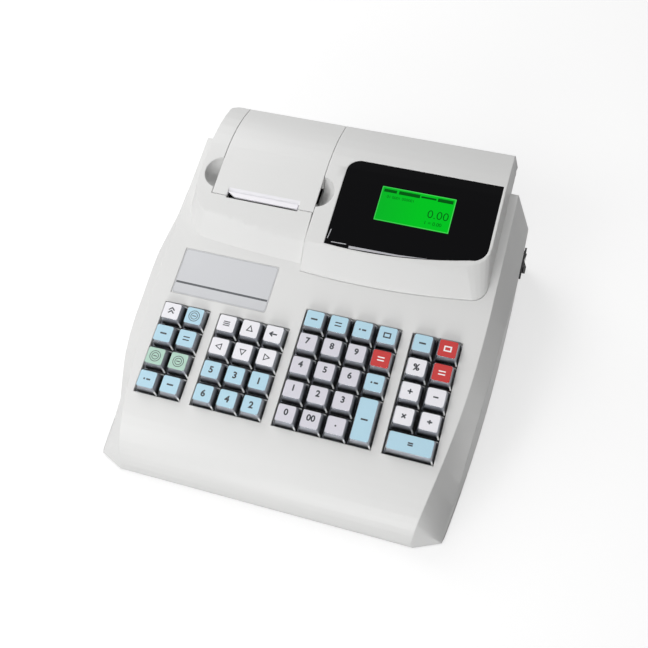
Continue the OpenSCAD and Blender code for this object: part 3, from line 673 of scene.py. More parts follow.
class Shape:
    """Closed solids gathered into one mesh, each face with its material's number."""

    def __init__(self) -> None:
        """Starts empty."""
        self.mesh = bmesh.new()

    def prism(
        self, outline: Sequence[Point], low: float, high: float, slot: int = 0
    ) -> None:
        """Adds an upright solid on an outline.

        Args:
            outline: Points (x, v), anticlockwise.
            low: Height of its base.
            high: Height of its top.
            slot: Number of its material.
        """
        rings = [
            [self.mesh.verts.new((x, v, w)) for x, v in outline] for w in (low, high)
        ]
        count = len(outline)
        faces = [self.mesh.faces.new(rings[1]), self.mesh.faces.new(rings[0][::-1])]
        for i in range(count):
            j = (i + 1) % count
            faces.append(
                self.mesh.faces.new(
                    (rings[0][i], rings[0][j], rings[1][j], rings[1][i])
                )
            )
        for face in faces:
            face.material_index = slot

    def stroke(
        self,
        points: Sequence[Point],
        width: float,
        low: float,
        high: float,
        slot: int = 0,
        closed: bool = False,
    ) -> None:
        """Adds a line of a set width as a chain of thin solids with mitred ends.

        Args:
            points: The line's points (x, v).
            width: Its width.
            low: Height of its base.
            high: Height of its top.
            slot: Number of its material.
            closed: Whether its last point joins its first.
        """
        path = [Vector(point) for point in points]
        count = len(path)
        sides = []
        for i in range(count):
            before = path[i - 1] if closed or i else None
            after = path[(i + 1) % count] if closed or i < count - 1 else None
            run_in = (path[i] - before).normalized() if before is not None else None
            run_out = (after - path[i]).normalized() if after is not None else None
            run_in = run_in if run_in is not None else run_out
            run_out = run_out if run_out is not None else run_in
            normals = [Vector((-run[1], run[0])) for run in (run_in, run_out)]
            mitre = (normals[0] + normals[1]) / (1 + normals[0].dot(normals[1]))
            sides.append((path[i] - mitre * width / 2, path[i] + mitre * width / 2))
        for i in range(count if closed else count - 1):
            a, b = sides[i], sides[(i + 1) % count]
            self.prism(
                [tuple(a[0]), tuple(b[0]), tuple(b[1]), tuple(a[1])], low, high, slot
            )

    def frustum(
        self,
        size: Point,
        heights: Point,
        leans: Place,
        corner: float,
        rim: float,
        slots: tuple[int, int, int],
    ) -> None:
        """Adds a block with sloping sides, round upright edges and a round upper rim.

        Args:
            size: Its width and depth at the base.
            heights: Heights of its base and top.
            leans: How far its sides, front and back lean in.
            corner: Radius of the upright edges.
            rim: Radius of the upper rim.
            slots: Material numbers of the walls, the right upright edges and the left
                ones; on a key's cover the right edges carry a painted glint and the
                left ones painted shade.
        """
        side, front, back = leans
        low, high = heights
        made = bmesh.new()

        def bevel(edges: list[bmesh.types.BMEdge], width: float, steps: int) -> dict:
            """Rounds edges of the block.

            Args:
                edges: The edges.
                width: How far from the edge the rounding starts.
                steps: Facets across it.

            Returns:
                The new edges and faces.
            """
            return bmesh.ops.bevel(
                made, geom=edges, offset=width, offset_type="OFFSET", segments=steps,
                profile=0.5, affect="EDGES",
            )

        base = [(0, 0), (size[0], 0), (size[0], size[1]), (0, size[1])]
        top = [
            (side, front), (size[0] - side, front), (size[0] - side, size[1] - back),
            (side, size[1] - back),
        ]
        lower = [made.verts.new((x, v, low)) for x, v in base]
        upper = [made.verts.new((x, v, high)) for x, v in top]
        made.faces.new(upper)
        made.faces.new(lower[::-1])
        for i in range(4):
            j = (i + 1) % 4
            made.faces.new((lower[i], lower[j], upper[j], upper[i]))
        uprights = [
            edge
            for edge in made.edges
            if abs(edge.verts[0].co.z - edge.verts[1].co.z) > TINY
        ]
        for face in made.faces:
            face.material_index = slots[0]
        # Right upright edges take the painted glint finish, left ones the painted shade
        # finish.
        for face in bevel(uprights, corner, UPRIGHT_STEPS)["faces"]:
            right = face.calc_center_median().x > size[0] / 2
            face.material_index = slots[1] if right else slots[2]
        if rim:
            edges = [
                edge
                for edge in made.edges
                if all(abs(vert.co.z - high) < TINY for vert in edge.verts)
            ]
            bevel(edges, rim, RIM_STEPS)
        self.join(made)

    def join(self, other: bmesh.types.BMesh, slot: Optional[int] = None) -> None:
        """Takes in another mesh and frees it.

        Args:
            other: The mesh.
            slot: Number of the material for all its faces; without it they keep theirs.
        """
        places = {vert: self.mesh.verts.new(vert.co) for vert in other.verts}
        for face in other.faces:
            made = self.mesh.faces.new([places[vert] for vert in face.verts])
            made.material_index = face.material_index if slot is None else slot
        other.free()

    def piece(self, name: str, finishes: Iterable[Finish]) -> bpy.types.Object:
        """Turns what was gathered into an object.

        Args:
            name: The object's name.
            finishes: Its finishes, in the order of the materials' numbers.

        Returns:
            The object, at the origin, with its place in its mesh.
        """
        mesh = bpy.data.meshes.new(name)
        bmesh.ops.recalc_face_normals(self.mesh, faces=self.mesh.faces)
        bmesh.ops.transform(self.mesh, matrix=DECK, verts=self.mesh.verts)
        self.mesh.to_mesh(mesh)
        self.mesh.free()
        for finish in finishes:
            mesh.materials.append(finish.material())
        made = stand(name, mesh)
        mesh.shade_smooth()
        mesh.set_sharp_from_angle(angle=math.radians(SMOOTH_DEG))
        return made


def lettering(
    text: str, height: float, centre: Point, low: float, thick: float, weight: float
) -> bmesh.types.BMesh:
    """Digits or signs as a mesh, in millimetres.

    Args:
        text: What it says.
        height: Height of the font's line.
        centre: Where its middle goes.
        low: Height of its base.
        thick: Its thickness.
        weight: How much bolder than the plain font it is.

    Returns:
        The mesh.
    """
    curve = bpy.data.curves.new("digits", "FONT")
    curve.body = text
    curve.size = height
    curve.extrude = thick / 2
    curve.offset = weight
    curve.resolution_u = LETTER_STEPS
    drawn = stand("digits", curve)
    bpy.context.view_layer.update()
    mesh = settled(drawn)
    made = bmesh.new()
    made.from_mesh(mesh)
    bpy.data.objects.remove(drawn)
    bpy.data.curves.remove(curve)
    bpy.data.meshes.remove(mesh)
    bmesh.ops.remove_doubles(made, verts=made.verts, dist=WELD)
    xs = [vert.co.x for vert in made.verts]
    ys = [vert.co.y for vert in made.verts]
    shift = Vector(
        (
            centre[0] - (min(xs) + max(xs)) / 2, centre[1] - (min(ys) + max(ys)) / 2,
            low + thick / 2,
        )
    )
    bmesh.ops.translate(made, verts=made.verts, vec=shift)
    return made


@dataclass(frozen=True)
class Zone:
    """A box in the deck frame, in millimetres, whose faces have their own finish."""

    low: Place
    high: Place
    finish: Finish

    def holds(self, point: Vector) -> bool:
        """Returns whether a point given in the row frame lies in the box."""
        inside = DECK.inverted() @ point
        return all(a < c < b for a, c, b in zip(self.low, inside, self.high))


@dataclass(frozen=True)
class SideBand:
    """The sloping band down each side of the case, between its crease and its shoulder.

    Lengths are in millimetres; y runs from the front to the back of the row frame.
    """

    front_y: float = -153.6
    ruled_y: Point = (-143.5, 60.0)
    cuts: tuple[float, ...] = (115.0, 118.0, 123.0, 126.0, 129.0, 135.0, 138.0, 141.0)
    crease: tuple[float, float, float, float] = (131.5, 18.8, 26.0, 2.2)
    shoulder: tuple[float, float, float, float] = (144.9, 13.0, 60.0, 1.65)
    sink: float = 10.0
    sink_y: Place = (-92.0, -54.0, 26.0)
    full_z: float = 50.0
    crease_deg: float = 12.0
    fold_deg: float = 60.0
    least_rise: float = 0.1
    least_lean: float = 0.25
    slack: float = 0.2

    def half_width(self, line: tuple[float, float, float, float], y: float) -> float:
        """Works out how far out one of the two lines runs.

        Args:
            line: Widest half width, how much it narrows, where that starts, and with
                what power.
            y: The place along the case.

        Returns:
            The distance from the middle.
        """
        widest, drop, start, power = line
        ahead = max(0.0, start - y) / (start - self.front_y)
        return widest - drop * ahead**power

    def holds(self, face: bmesh.types.BMFace) -> bool:
        """Tells whether a face belongs to the band.

        Args:
            face: A face of the case, in the row frame.

        Returns:
            True if it lies between the two lines and slopes outwards.
        """
        centre = face.calc_center_median() / MM
        out = abs(centre.x)
        return (
            centre.y > self.front_y
            and face.normal.z > self.least_rise
            and abs(face.normal.x) > self.least_lean
            and self.half_width(self.crease, centre.y) - self.slack < out
            and out < self.half_width(self.shoulder, centre.y)
        )

    def lower(self, work: bmesh.types.BMesh) -> None:
        """Sinks the shoulder where it nears the deck, so that the band keeps its slope.

        Args:
            work: The case's mesh, in the row frame.
        """
        start, deepest, end = self.sink_y
        for vert in work.verts:
            y = vert.co.y / MM
            inner = self.half_width(self.crease, y)
            across = (abs(vert.co.x) / MM - inner) / (
                self.half_width(self.shoulder, y) - inner
            )
            along = min(
                smooth_step((y - start) / (deepest - start)),
                1 - smooth_step((y - deepest) / (end - deepest)),
            )
            height = min(max(vert.co.z / MM / self.full_z, 0.0), 1.0)
            vert.co.z -= self.sink * MM * along * height * min(max(across, 0.0), 1.0)

    def rule(self, work: bmesh.types.BMesh) -> None:
        """Lays the band's inner points on straight lines from crease to shoulder.

        Args:
            work: The case's mesh, in the row frame.
        """
        work.normal_update()
        band = {face for face in work.faces if self.holds(face)}
        points = {vert for face in band for vert in face.verts}
        inner = {vert for vert in points if band.issuperset(vert.link_faces)}
        lines: tuple[list, list] = ([], [])
        for vert in points - inner:
            out, y, z = abs(vert.co.x) / MM, vert.co.y / MM, vert.co.z / MM
            ends = [self.half_width(line, y) for line in (self.crease, self.shoulder)]
            lines[out > sum(ends) / 2].append((y, out, z))
        for line in lines:
            line.sort()
        for vert in inner:
            y = vert.co.y / MM
            if not self.ruled_y[0] < y < self.ruled_y[1]:
                continue
            crease, shoulder = (between(line, y) for line in lines)
            share = (abs(vert.co.x) / MM - crease[0]) / (shoulder[0] - crease[0])
            vert.co.z = (crease[1] + share * (shoulder[1] - crease[1])) * MM

    def crease_edges(self, work: bmesh.types.BMesh, other_deg: float) -> None:
        """Shades the band smooth between its two lines and keeps those sharp.

        Args:
            work: The case's mesh, in the row frame.
            other_deg: Edges away from the band are sharp from this angle on.
        """
        work.normal_update()
        band = {face for face in work.faces if self.holds(face)}
        for edge in work.edges:
            if len(edge.link_faces) != 2:
                continue
            inside = sum(face in band for face in edge.link_faces)
            limit = (other_deg, self.crease_deg, self.fold_deg)[inside]
            edge.smooth = edge.calc_face_angle(0.0) < math.radians(limit)


def between(line: list[Place], y: float) -> Point:
    """Reads a line of points at one place.

    Args:
        line: Points (y, x, z), sorted by y.
        y: The place.

    Returns:
        The line's x and z there.
    """
    after = min(max(bisect_left(line, (y,)), 1), len(line) - 1)
    a, b = line[after - 1], line[after]
    share = (y - a[0]) / max(b[0] - a[0], TINY)
    share = min(max(share, 0.0), 1.0)
    return a[1] + share * (b[1] - a[1]), a[2] + share * (b[2] - a[2])


def smooth_step(share: float) -> float:
    """Returns a share from 0 to 1 with a soft start and a soft end."""
    held = min(max(share, 0.0), 1.0)
    return held * held * (3 - 2 * held)


@dataclass(frozen=True)
class Moulding:
    """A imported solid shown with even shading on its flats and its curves."""

    node: str
    finish: Finish
    body: str
    slot: str
    crease_deg: float = 24.0
    zones: tuple[Zone, ...] = ()
    band: Optional[SideBand] = None
    cell: float = 12.0
    spans: tuple[Point, Point] = ((-144.0, 144.0), (-60.0, 276.0))
    face_weight: int = 80

    def divide(self, work: bmesh.types.BMesh) -> None:
        """Cuts the flats into cells, so that a curve's shading stays beside the curve.

        Args:
            work: The merged mesh, in the row frame.
        """
        turn = DECK.to_3x3().normalized()
        extra = self.band.cuts if self.band is not None else ()
        for axis, (low, high) in enumerate(self.spans):
            count = int((high - low) / self.cell) + 1
            places = [low + step * self.cell for step in range(count)]
            if axis == 0:
                places += [side * cut for side in (-1, 1) for cut in extra]
            for place in places:
                point = Vector((0.0, 0.0, 0.0))
                point[axis] = place
                bmesh.ops.bisect_plane(
                    work, geom=work.verts[:] + work.edges[:] + work.faces[:], dist=TINY,
                    plane_co=DECK @ point, plane_no=turn.col[axis],
                )

    def build(self) -> bpy.types.Object:
        """Copies the solid's mesh, merges it and weighs its normals by face.

        Returns:
            The piece, which stands for the node.
        """
        mesh = bpy.data.objects[self.node].data.copy()
        mesh.name = self.node + "_moulding"
        work = bmesh.new()
        work.from_mesh(mesh)
        bmesh.ops.remove_doubles(work, verts=work.verts, dist=TINY)
        self.divide(work)
        if self.band is not None:
            self.band.lower(work)
            self.band.rule(work)
            self.band.crease_edges(work, self.crease_deg)
        work.to_mesh(mesh)
        work.free()
        made = stand(self.node + "_moulding", mesh)
        mesh.materials.clear()
        mesh.materials.append(self.finish.material())
        for number, zone in enumerate(self.zones, start=1):
            mesh.materials.append(zone.finish.material())
            for face in mesh.polygons:
                if zone.holds(face.center):
                    face.material_index = number
        mesh.shade_smooth()
        if self.band is None:
            mesh.set_sharp_from_angle(angle=math.radians(self.crease_deg))
        even = made.modifiers.new("even normals", "WEIGHTED_NORMAL")
        even.mode = "FACE_AREA"
        even.weight = self.face_weight
        even.keep_sharp = True
        made.data = settled(made)
        made.modifiers.clear()
        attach(made, self.body)
        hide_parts(self.node)
        log.info("%s: %d faces", made.name, len(made.data.polygons))
        return made


# ---- Keyboard ------------------------------------------------------------------------


class Glyph(Enum):
    """Plain signs that the labels carry."""

    CHEVRONS = "chevrons"
    RING = "ring"
    BARS = "bars"
    UP = "up"
    DOWN = "down"
    LEFT = "left"
    RIGHT = "right"
    BACK = "back"
    SQUARE = "square"
    DASH = "dash"
    TWO_DASHES = "two dashes"
    DOT_DASH = "dot and dash"


@dataclass(frozen=True)
class Stroke:
    """One stroke of a sign, in millimetres about the sign's middle."""

    points: tuple[Point, ...]
    width: float
    closed: bool = False


def dash(half: float, width: float, rise: float = 0.0) -> Stroke:
    """Returns a level stroke that runs half its length to each side of the middle."""
    return Stroke(((-half, rise), (half, rise)), width)


def ring(radius: float, width: float, count: int = 28) -> Stroke:
    """Makes a closed round stroke.

    Args:
        radius: Its radius.
        width: Its width.
        count: How many points it has.

    Returns:
        The stroke.
    """
    turns = [math.tau * i / count for i in range(count)]
    points = tuple((radius * math.cos(t), radius * math.sin(t)) for t in turns)
    return Stroke(points, width, True)


def triangle(turn_deg: float) -> tuple[Stroke, ...]:
    """Makes the outline of a triangle.

    Args:
        turn_deg: How far it is turned anticlockwise from pointing up.

    Returns:
        Its one closed stroke.
    """
    cos, sin = math.cos(math.radians(turn_deg)), math.sin(math.radians(turn_deg))
    corners = ((0.0, 2.5), (-2.3, -1.7), (2.3, -1.7))
    points = tuple((a * cos - b * sin, a * sin + b * cos) for a, b in corners)
    return (Stroke(points, 0.7, True),)


STROKES: dict[Glyph, tuple[Stroke, ...]] = {
    Glyph.CHEVRONS: tuple(
        Stroke(((-2.3, rise), (0.0, rise + 2.1), (2.3, rise)), 1.0)
        for rise in (0.6, -1.9)
    ),
    Glyph.RING: (ring(4.2, 0.5), ring(2.6, 0.5), dash(1.5, 0.7)),
    Glyph.BARS: tuple(dash(2.6, 0.8, rise) for rise in (-1.5, 0.0, 1.5)),
    Glyph.UP: triangle(0), Glyph.DOWN: triangle(180), Glyph.LEFT: triangle(90),
    Glyph.RIGHT: triangle(270),
    Glyph.BACK: (dash(2.8, 1.1), Stroke(((-0.6, 1.9), (-2.8, 0.0), (-0.6, -1.9)), 1.1)),
    Glyph.SQUARE: (
        Stroke(((-2.4, -1.7), (2.4, -1.7), (2.4, 1.7), (-2.4, 1.7)), 1.0, True),
    ),
    Glyph.DASH: (dash(2.6, 1.3),),
    Glyph.TWO_DASHES: tuple(dash(2.6, 0.9, rise) for rise in (-1.2, 1.2)),
    Glyph.DOT_DASH: (
        Stroke(((-2.8, 0.0), (-1.5, 0.0)), 1.3), Stroke(((-0.4, 0.0), (2.8, 0.0)), 1.3)
    ),
}


class KeySlot(IntEnum):
    """Numbers of a key's materials, in the order in which they are given."""

    COVER = 0
    # The two edge slots hold a painted glint and painted shade.
    EDGE_PAINTED_GLINT = 1
    STEM = 2
    EDGE_PAINTED_SHADE = 3
    LABEL = 4
    INK = 5


@dataclass(frozen=True)
class Key:
    """One key's place on the keyboard and its label."""

    name: str
    block: int
    column: int
    row: int
    tone: Tone
    legend: str | Glyph
    columns: int = 1
    rows: int = 1


KEYS = (
    Key("key_feed", 0, 0, 3, Tone.WHITE, Glyph.CHEVRONS),
    Key("key_f1", 0, 1, 3, Tone.BLUE, Glyph.RING),
    Key("key_f2", 0, 0, 2, Tone.BLUE, Glyph.DASH),
    Key("key_f3", 0, 1, 2, Tone.BLUE, Glyph.TWO_DASHES),
    Key("key_card", 0, 0, 1, Tone.GREEN, Glyph.RING),
    Key("key_cash", 0, 1, 1, Tone.GREEN, Glyph.RING),
    Key("key_f4", 0, 0, 0, Tone.BLUE, Glyph.DOT_DASH),
    Key("key_f5", 0, 1, 0, Tone.BLUE, Glyph.DASH),
    Key("key_menu", 1, 0, 3, Tone.WHITE, Glyph.BARS),
    Key("key_up", 1, 1, 3, Tone.WHITE, Glyph.UP),
    Key("key_back", 1, 2, 3, Tone.WHITE, Glyph.BACK),
    Key("key_left", 1, 0, 2, Tone.WHITE, Glyph.LEFT),
    Key("key_down", 1, 1, 2, Tone.WHITE, Glyph.DOWN),
    Key("key_right", 1, 2, 2, Tone.WHITE, Glyph.RIGHT),
    Key("key_dept_5", 1, 0, 1, Tone.BLUE, "5"),
    Key("key_dept_3", 1, 1, 1, Tone.BLUE, "3"),
    Key("key_dept_1", 1, 2, 1, Tone.BLUE, "1"),
    Key("key_dept_6", 1, 0, 0, Tone.BLUE, "6"),
    Key("key_dept_4", 1, 1, 0, Tone.BLUE, "4"),
    Key("key_dept_2", 1, 2, 0, Tone.BLUE, "2"),
    Key("key_f6", 2, 0, 4, Tone.BLUE, Glyph.DASH),
    Key("key_f7", 2, 1, 4, Tone.BLUE, Glyph.TWO_DASHES),
    Key("key_f8", 2, 2, 4, Tone.BLUE, Glyph.DOT_DASH),
    Key("key_f9", 2, 3, 4, Tone.BLUE, Glyph.SQUARE),
    Key("key_7", 2, 0, 3, Tone.GREY, "7"),
    Key("key_8", 2, 1, 3, Tone.GREY, "8"),
    Key("key_9", 2, 2, 3, Tone.GREY, "9"),
    Key("key_clear", 2, 3, 3, Tone.RED, Glyph.TWO_DASHES),
    Key("key_4", 2, 0, 2, Tone.GREY, "4"),
    Key("key_5", 2, 1, 2, Tone.GREY, "5"),
    Key("key_6", 2, 2, 2, Tone.GREY, "6"),
    Key("key_subtotal", 2, 3, 2, Tone.BLUE, Glyph.DOT_DASH),
    Key("key_1", 2, 0, 1, Tone.GREY, "1"),
    Key("key_2", 2, 1, 1, Tone.GREY, "2"),
    Key("key_3", 2, 2, 1, Tone.GREY, "3"),
    Key("key_enter", 2, 3, 0, Tone.BLUE, Glyph.DASH, rows=2),
    Key("key_0", 2, 0, 0, Tone.GREY, "0"),
    Key("key_00", 2, 1, 0, Tone.GREY, "00"),
    Key("key_point", 2, 2, 0, Tone.GREY, "."),
    Key("key_f10", 3, 0, 4, Tone.BLUE, Glyph.DASH),
    Key("key_void", 3, 1, 4, Tone.RED, Glyph.SQUARE),
    Key("key_percent", 3, 0, 3, Tone.WHITE, "%"),
    Key("key_refund", 3, 1, 3, Tone.RED, Glyph.TWO_DASHES),
    Key("key_plus", 3, 0, 2, Tone.WHITE, "+"),
    Key("key_minus", 3, 1, 2, Tone.WHITE, "−"),
    Key("key_times", 3, 0, 1, Tone.WHITE, "×"),
    Key("key_divide", 3, 1, 1, Tone.WHITE, "÷"),
    Key("key_total", 3, 0, 0, Tone.BLUE, "=", columns=2),
)


@dataclass
class Keyboard:
    """Forty-eight keys, each a black stem in a clear cover with a printed label."""

    pitch: float = 19.05
    bar: float = 7.88
    gap: float = 1.0
    bottom: float = -2.5
    top: float = 6.0
    side_lean: float = 2.2
    front_lean: float = 3.0
    back_lean: float = 2.0
    block_columns: tuple[int, ...] = (2, 3, 4, 2)
    label_edge: float = 0.08
    label_corner: float = 1.4
    label_thick: float = 0.25
    label_rise: float = 0.01
    ink_thick: float = 0.04
    corner: float = 0.8
    rim: float = 0.35
    stem_inset: float = 1.3
    stem_corner: float = 0.6
    stem_drop: Point = (0.3, 0.9)
    stem_upright: Place = (0.2, 0.3, 0.2)
    small_print: Place = (6.6, 1.2, 0.24)
    large_print: Place = (7.0, 0.0, 0.26)
    finishes: tuple[Finish, ...] = field(
        default=(KEY_COVER, KEY_EDGE_PAINTED_GLINT, KEY_STEM, KEY_EDGE_PAINTED_SHADE), init=False
    )

    def block_x(self, block: int) -> float:
        """Works out where a block of keys starts.

        Args:
            block: Number of the block, from the left.

        Returns:
            The x of its left side.
        """
        bars = len(self.block_columns) - 1
        whole = sum(self.block_columns) * self.pitch + bars * self.bar
        before = sum(self.block_columns[:block])
        return before * self.pitch + block * self.bar - whole / 2

    def legend(self, shape: Shape, key: Key, middle: Point) -> None:
        """Puts a key's digit or sign on its label.

        Args:
            shape: The key's shape.
            key: The key.
            middle: Middle of its label.
        """
        low = self.top + self.label_rise
        if isinstance(key.legend, Glyph):
            for stroke in STROKES[key.legend]:
                shape.stroke(
                    [(middle[0] + a, middle[1] + b) for a, b in stroke.points],
                    stroke.width, low, low + self.ink_thick, KeySlot.INK, stroke.closed,
                )
            return
        small = key.tone is Tone.GREY and key.legend != "."
        height, lift, weight = self.small_print if small else self.large_print
        place = (middle[0], middle[1] + lift)
        drawn = lettering(key.legend, height, place, low, self.ink_thick, weight)
        shape.join(drawn, KeySlot.INK)

    def build_key(self, key: Key) -> bpy.types.Object:
        """Builds one key and puts it on its body.

        Args:
            key: Which key.

        Returns:
            The key's object.
        """
        size = (key.columns * self.pitch - self.gap, key.rows * self.pitch - self.gap)
        leans = (self.side_lean, self.front_lean, self.back_lean)
        low = (
            self.block_x(key.block) + key.column * self.pitch + self.gap / 2,
            key.row * self.pitch + self.gap / 2,
        )
        shape = Shape()
        shape.frustum(
            size, (self.bottom, self.top), leans, self.corner, self.rim,
            (KeySlot.COVER, KeySlot.EDGE_PAINTED_GLINT, KeySlot.EDGE_PAINTED_SHADE),
        )
        inner = Shape()
        inset = self.stem_inset
        inner.frustum(
            (size[0] - 2 * inset, size[1] - 2 * inset),
            (self.bottom - self.stem_drop[0], self.top - self.stem_drop[1]),
            tuple(lean - less for lean, less in zip(leans, self.stem_upright)),
            self.stem_corner, 0.0, (KeySlot.STEM,) * 3,
        )
        bmesh.ops.translate(inner.mesh, verts=inner.mesh.verts, vec=(inset, inset, 0))
        shape.join(inner.mesh)
        edge = self.label_edge
        label_low = (leans[0] + edge, leans[1] + edge)
        label_high = (size[0] - leans[0] - edge, size[1] - leans[2] - edge)
        shape.prism(
            rounded_rectangle(label_low, label_high, self.label_corner),
            self.top - self.label_thick, self.top + self.label_rise, KeySlot.LABEL,
        )
        middle = (
            (label_low[0] + label_high[0]) / 2, (label_low[1] + label_high[1]) / 2
        )
        self.legend(shape, key, middle)
        bmesh.ops.translate(
            shape.mesh, verts=shape.mesh.verts, vec=(low[0], low[1], 0.0)
        )
        ink = INK_WHITE if key.tone is Tone.RED else INK
        made = shape.piece(key.name + "_cap", (*self.finishes, key.tone.value, ink))
        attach(made, key.name)
        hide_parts(key.name)
        "key_" + key.tone.name.lower()
        return made

    def build(self) -> None:
        """Builds every key."""
        for key in KEYS:
            self.build_key(key)
        log.info("keyboard: %d keys", len(KEYS))


# ---- Head and case -------------------------------------------------------------------


@dataclass
class Display:
    """The lit field in the window, with its digits and its status line."""

    centre: Point = (57.1, 189.8)
    size: Point = (59.0, 30.2)
    corner: float = 0.3
    base: float = 12.82
    face: float = 13.26
    ink: float = 0.03
    sunk: float = 0.02
    rim_inset: float = 0.35
    rim_width: float = 0.6
    status_rise: float = 11.7
    # Start, end and width of each bar of the status line.
    status: tuple[Place, ...] = (
        (-27.6, -17.4, 2.6), (-15.6, 1.2, 3.0), (2.2, 14.2, 1.6), (15.4, 27.6, 3.0)
    )
    # Text, height, place about the centre, and weight.
    texts: tuple[tuple[str, float, Point, float], ...] = (
        ("01 0001 000001", 3.4, (-13.5, 6.6), -0.02),
        ("0.00", 10.0, (18.6, -1.6), -0.1), ("1 = 0.00", 4.2, (16.4, -9.4), 0.0),
    )

    def build(self) -> None:
        """Builds the field and what it shows."""
        field_slot, rim_slot, dot_slot = range(3)
        x, v = self.centre
        left, right = x - self.size[0] / 2, x + self.size[0] / 2
        front, back = v - self.size[1] / 2, v + self.size[1] / 2
        low, high = self.face - self.sunk, self.face + self.ink
        inset = self.rim_inset
        shape = Shape()
        outline = rounded_rectangle((left, front), (right, back), self.corner)
        shape.prism(outline, self.base, self.face, field_slot)
        rim = [
            (left + inset, front + inset), (right - inset, front + inset),
            (right - inset, back - inset), (left + inset, back - inset),
        ]
        shape.stroke(rim, self.rim_width, low, high, rim_slot, True)
        level = v + self.status_rise
        for start, end, width in self.status:
            bar = [(x + start, level), (x + end, level)]
            shape.stroke(bar, width, low, high, dot_slot)
        for text, height, (a, b), weight in self.texts:
            thick = self.ink + self.sunk
            drawn = lettering(text, height, (x + a, v + b), low, thick, weight)
            shape.join(drawn, dot_slot)
        made = shape.piece("display_field", (LCD_FIELD, LCD_RIM, LCD_DOT))
        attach(made, "case")
        log.info("display field")


@dataclass
class WindowPaintedHighlight:
    """Painted highlights on the window's front edge: thin pale strips and glints that
    stand for light reflected by its bevel.
    """

    front: float = 145.7
    bow: float = 0.0014
    bow_x: float = 20.0
    face: float = 13.3
    film: float = 0.03
    play: float = 0.3
    highlight_strip: tuple[Point, ...] = ((15.0, 2.6), (53.0, 1.7), (76.0, 0.5))
    painted_glints: tuple[tuple[Point, Point], ...] = (
        ((-3.2, 151.0), (-2.3, 159.5)), ((0.4, 148.7), (12.5, 149.1))
    )
    painted_glint_width: float = 0.7

    def outline_v(self, x: float) -> float:
        """Returns where the window's front edge runs at x, in deck millimetres."""
        return self.front + self.bow * (x - self.bow_x) ** 2

    def build(self) -> None:
        """Builds the painted highlight strips and glints."""
        shape = Shape()
        low, high = self.face - self.film, self.face + self.film
        near = [(x, self.outline_v(x) + self.play) for x, _ in self.highlight_strip]
        far = [(x, self.outline_v(x) + width) for x, width in self.highlight_strip]
        for i in range(len(self.highlight_strip) - 1):
            shape.prism([near[i], near[i + 1], far[i + 1], far[i]], low, high)
        for start, end in self.painted_glints:
            shape.stroke([start, end], self.painted_glint_width, low, high)
        made = shape.piece("window_edge", (WINDOW_PAINTED_HIGHLIGHT,))
        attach(made, "case")
        log.info("window edge")


@dataclass
class NamePlate:
    """A bare foil plate in its shallow seat, with a printed outline and a rule."""

    low: Point = (-115.3, 84.8)
    high: Point = (-36.7, 123.7)
    corner: float = 2.2
    seat: float = -0.5
    face: float = -0.1
    sunk: float = 0.02
    edge_inset: float = 0.7
    edge_corner: float = 1.8
    edge_width: float = 0.35
    rule_v: float = 94.4
    rule_inset: float = 1.0
    rule_width: float = 1.7
    rule_ink: float = 0.025

    def build(self) -> None:
        """Builds the plate."""
        foil_slot, rule_slot, edge_slot = range(3)
        (left, front), (right, back) = self.low, self.high
        shape = Shape()
        outline = rounded_rectangle(self.low, self.high, self.corner)
        shape.prism(outline, self.seat, self.face, foil_slot)
        inset = self.edge_inset
        inner = ((left + inset, front + inset), (right - inset, back - inset))
        edge = rounded_rectangle(*inner, self.edge_corner)
        low, high = self.face - self.sunk, self.face + self.sunk
        shape.stroke(edge, self.edge_width, low, high, edge_slot, True)
        ends = (left + self.rule_inset, right - self.rule_inset)
        rule = [(x, self.rule_v) for x in ends]
        shape.stroke(rule, self.rule_width, low, self.face + self.rule_ink, rule_slot)
        made = shape.piece("name_plate", (FOIL, FOIL_LINE, FOIL_EDGE))
        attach(made, "case")
        log.info("name plate")


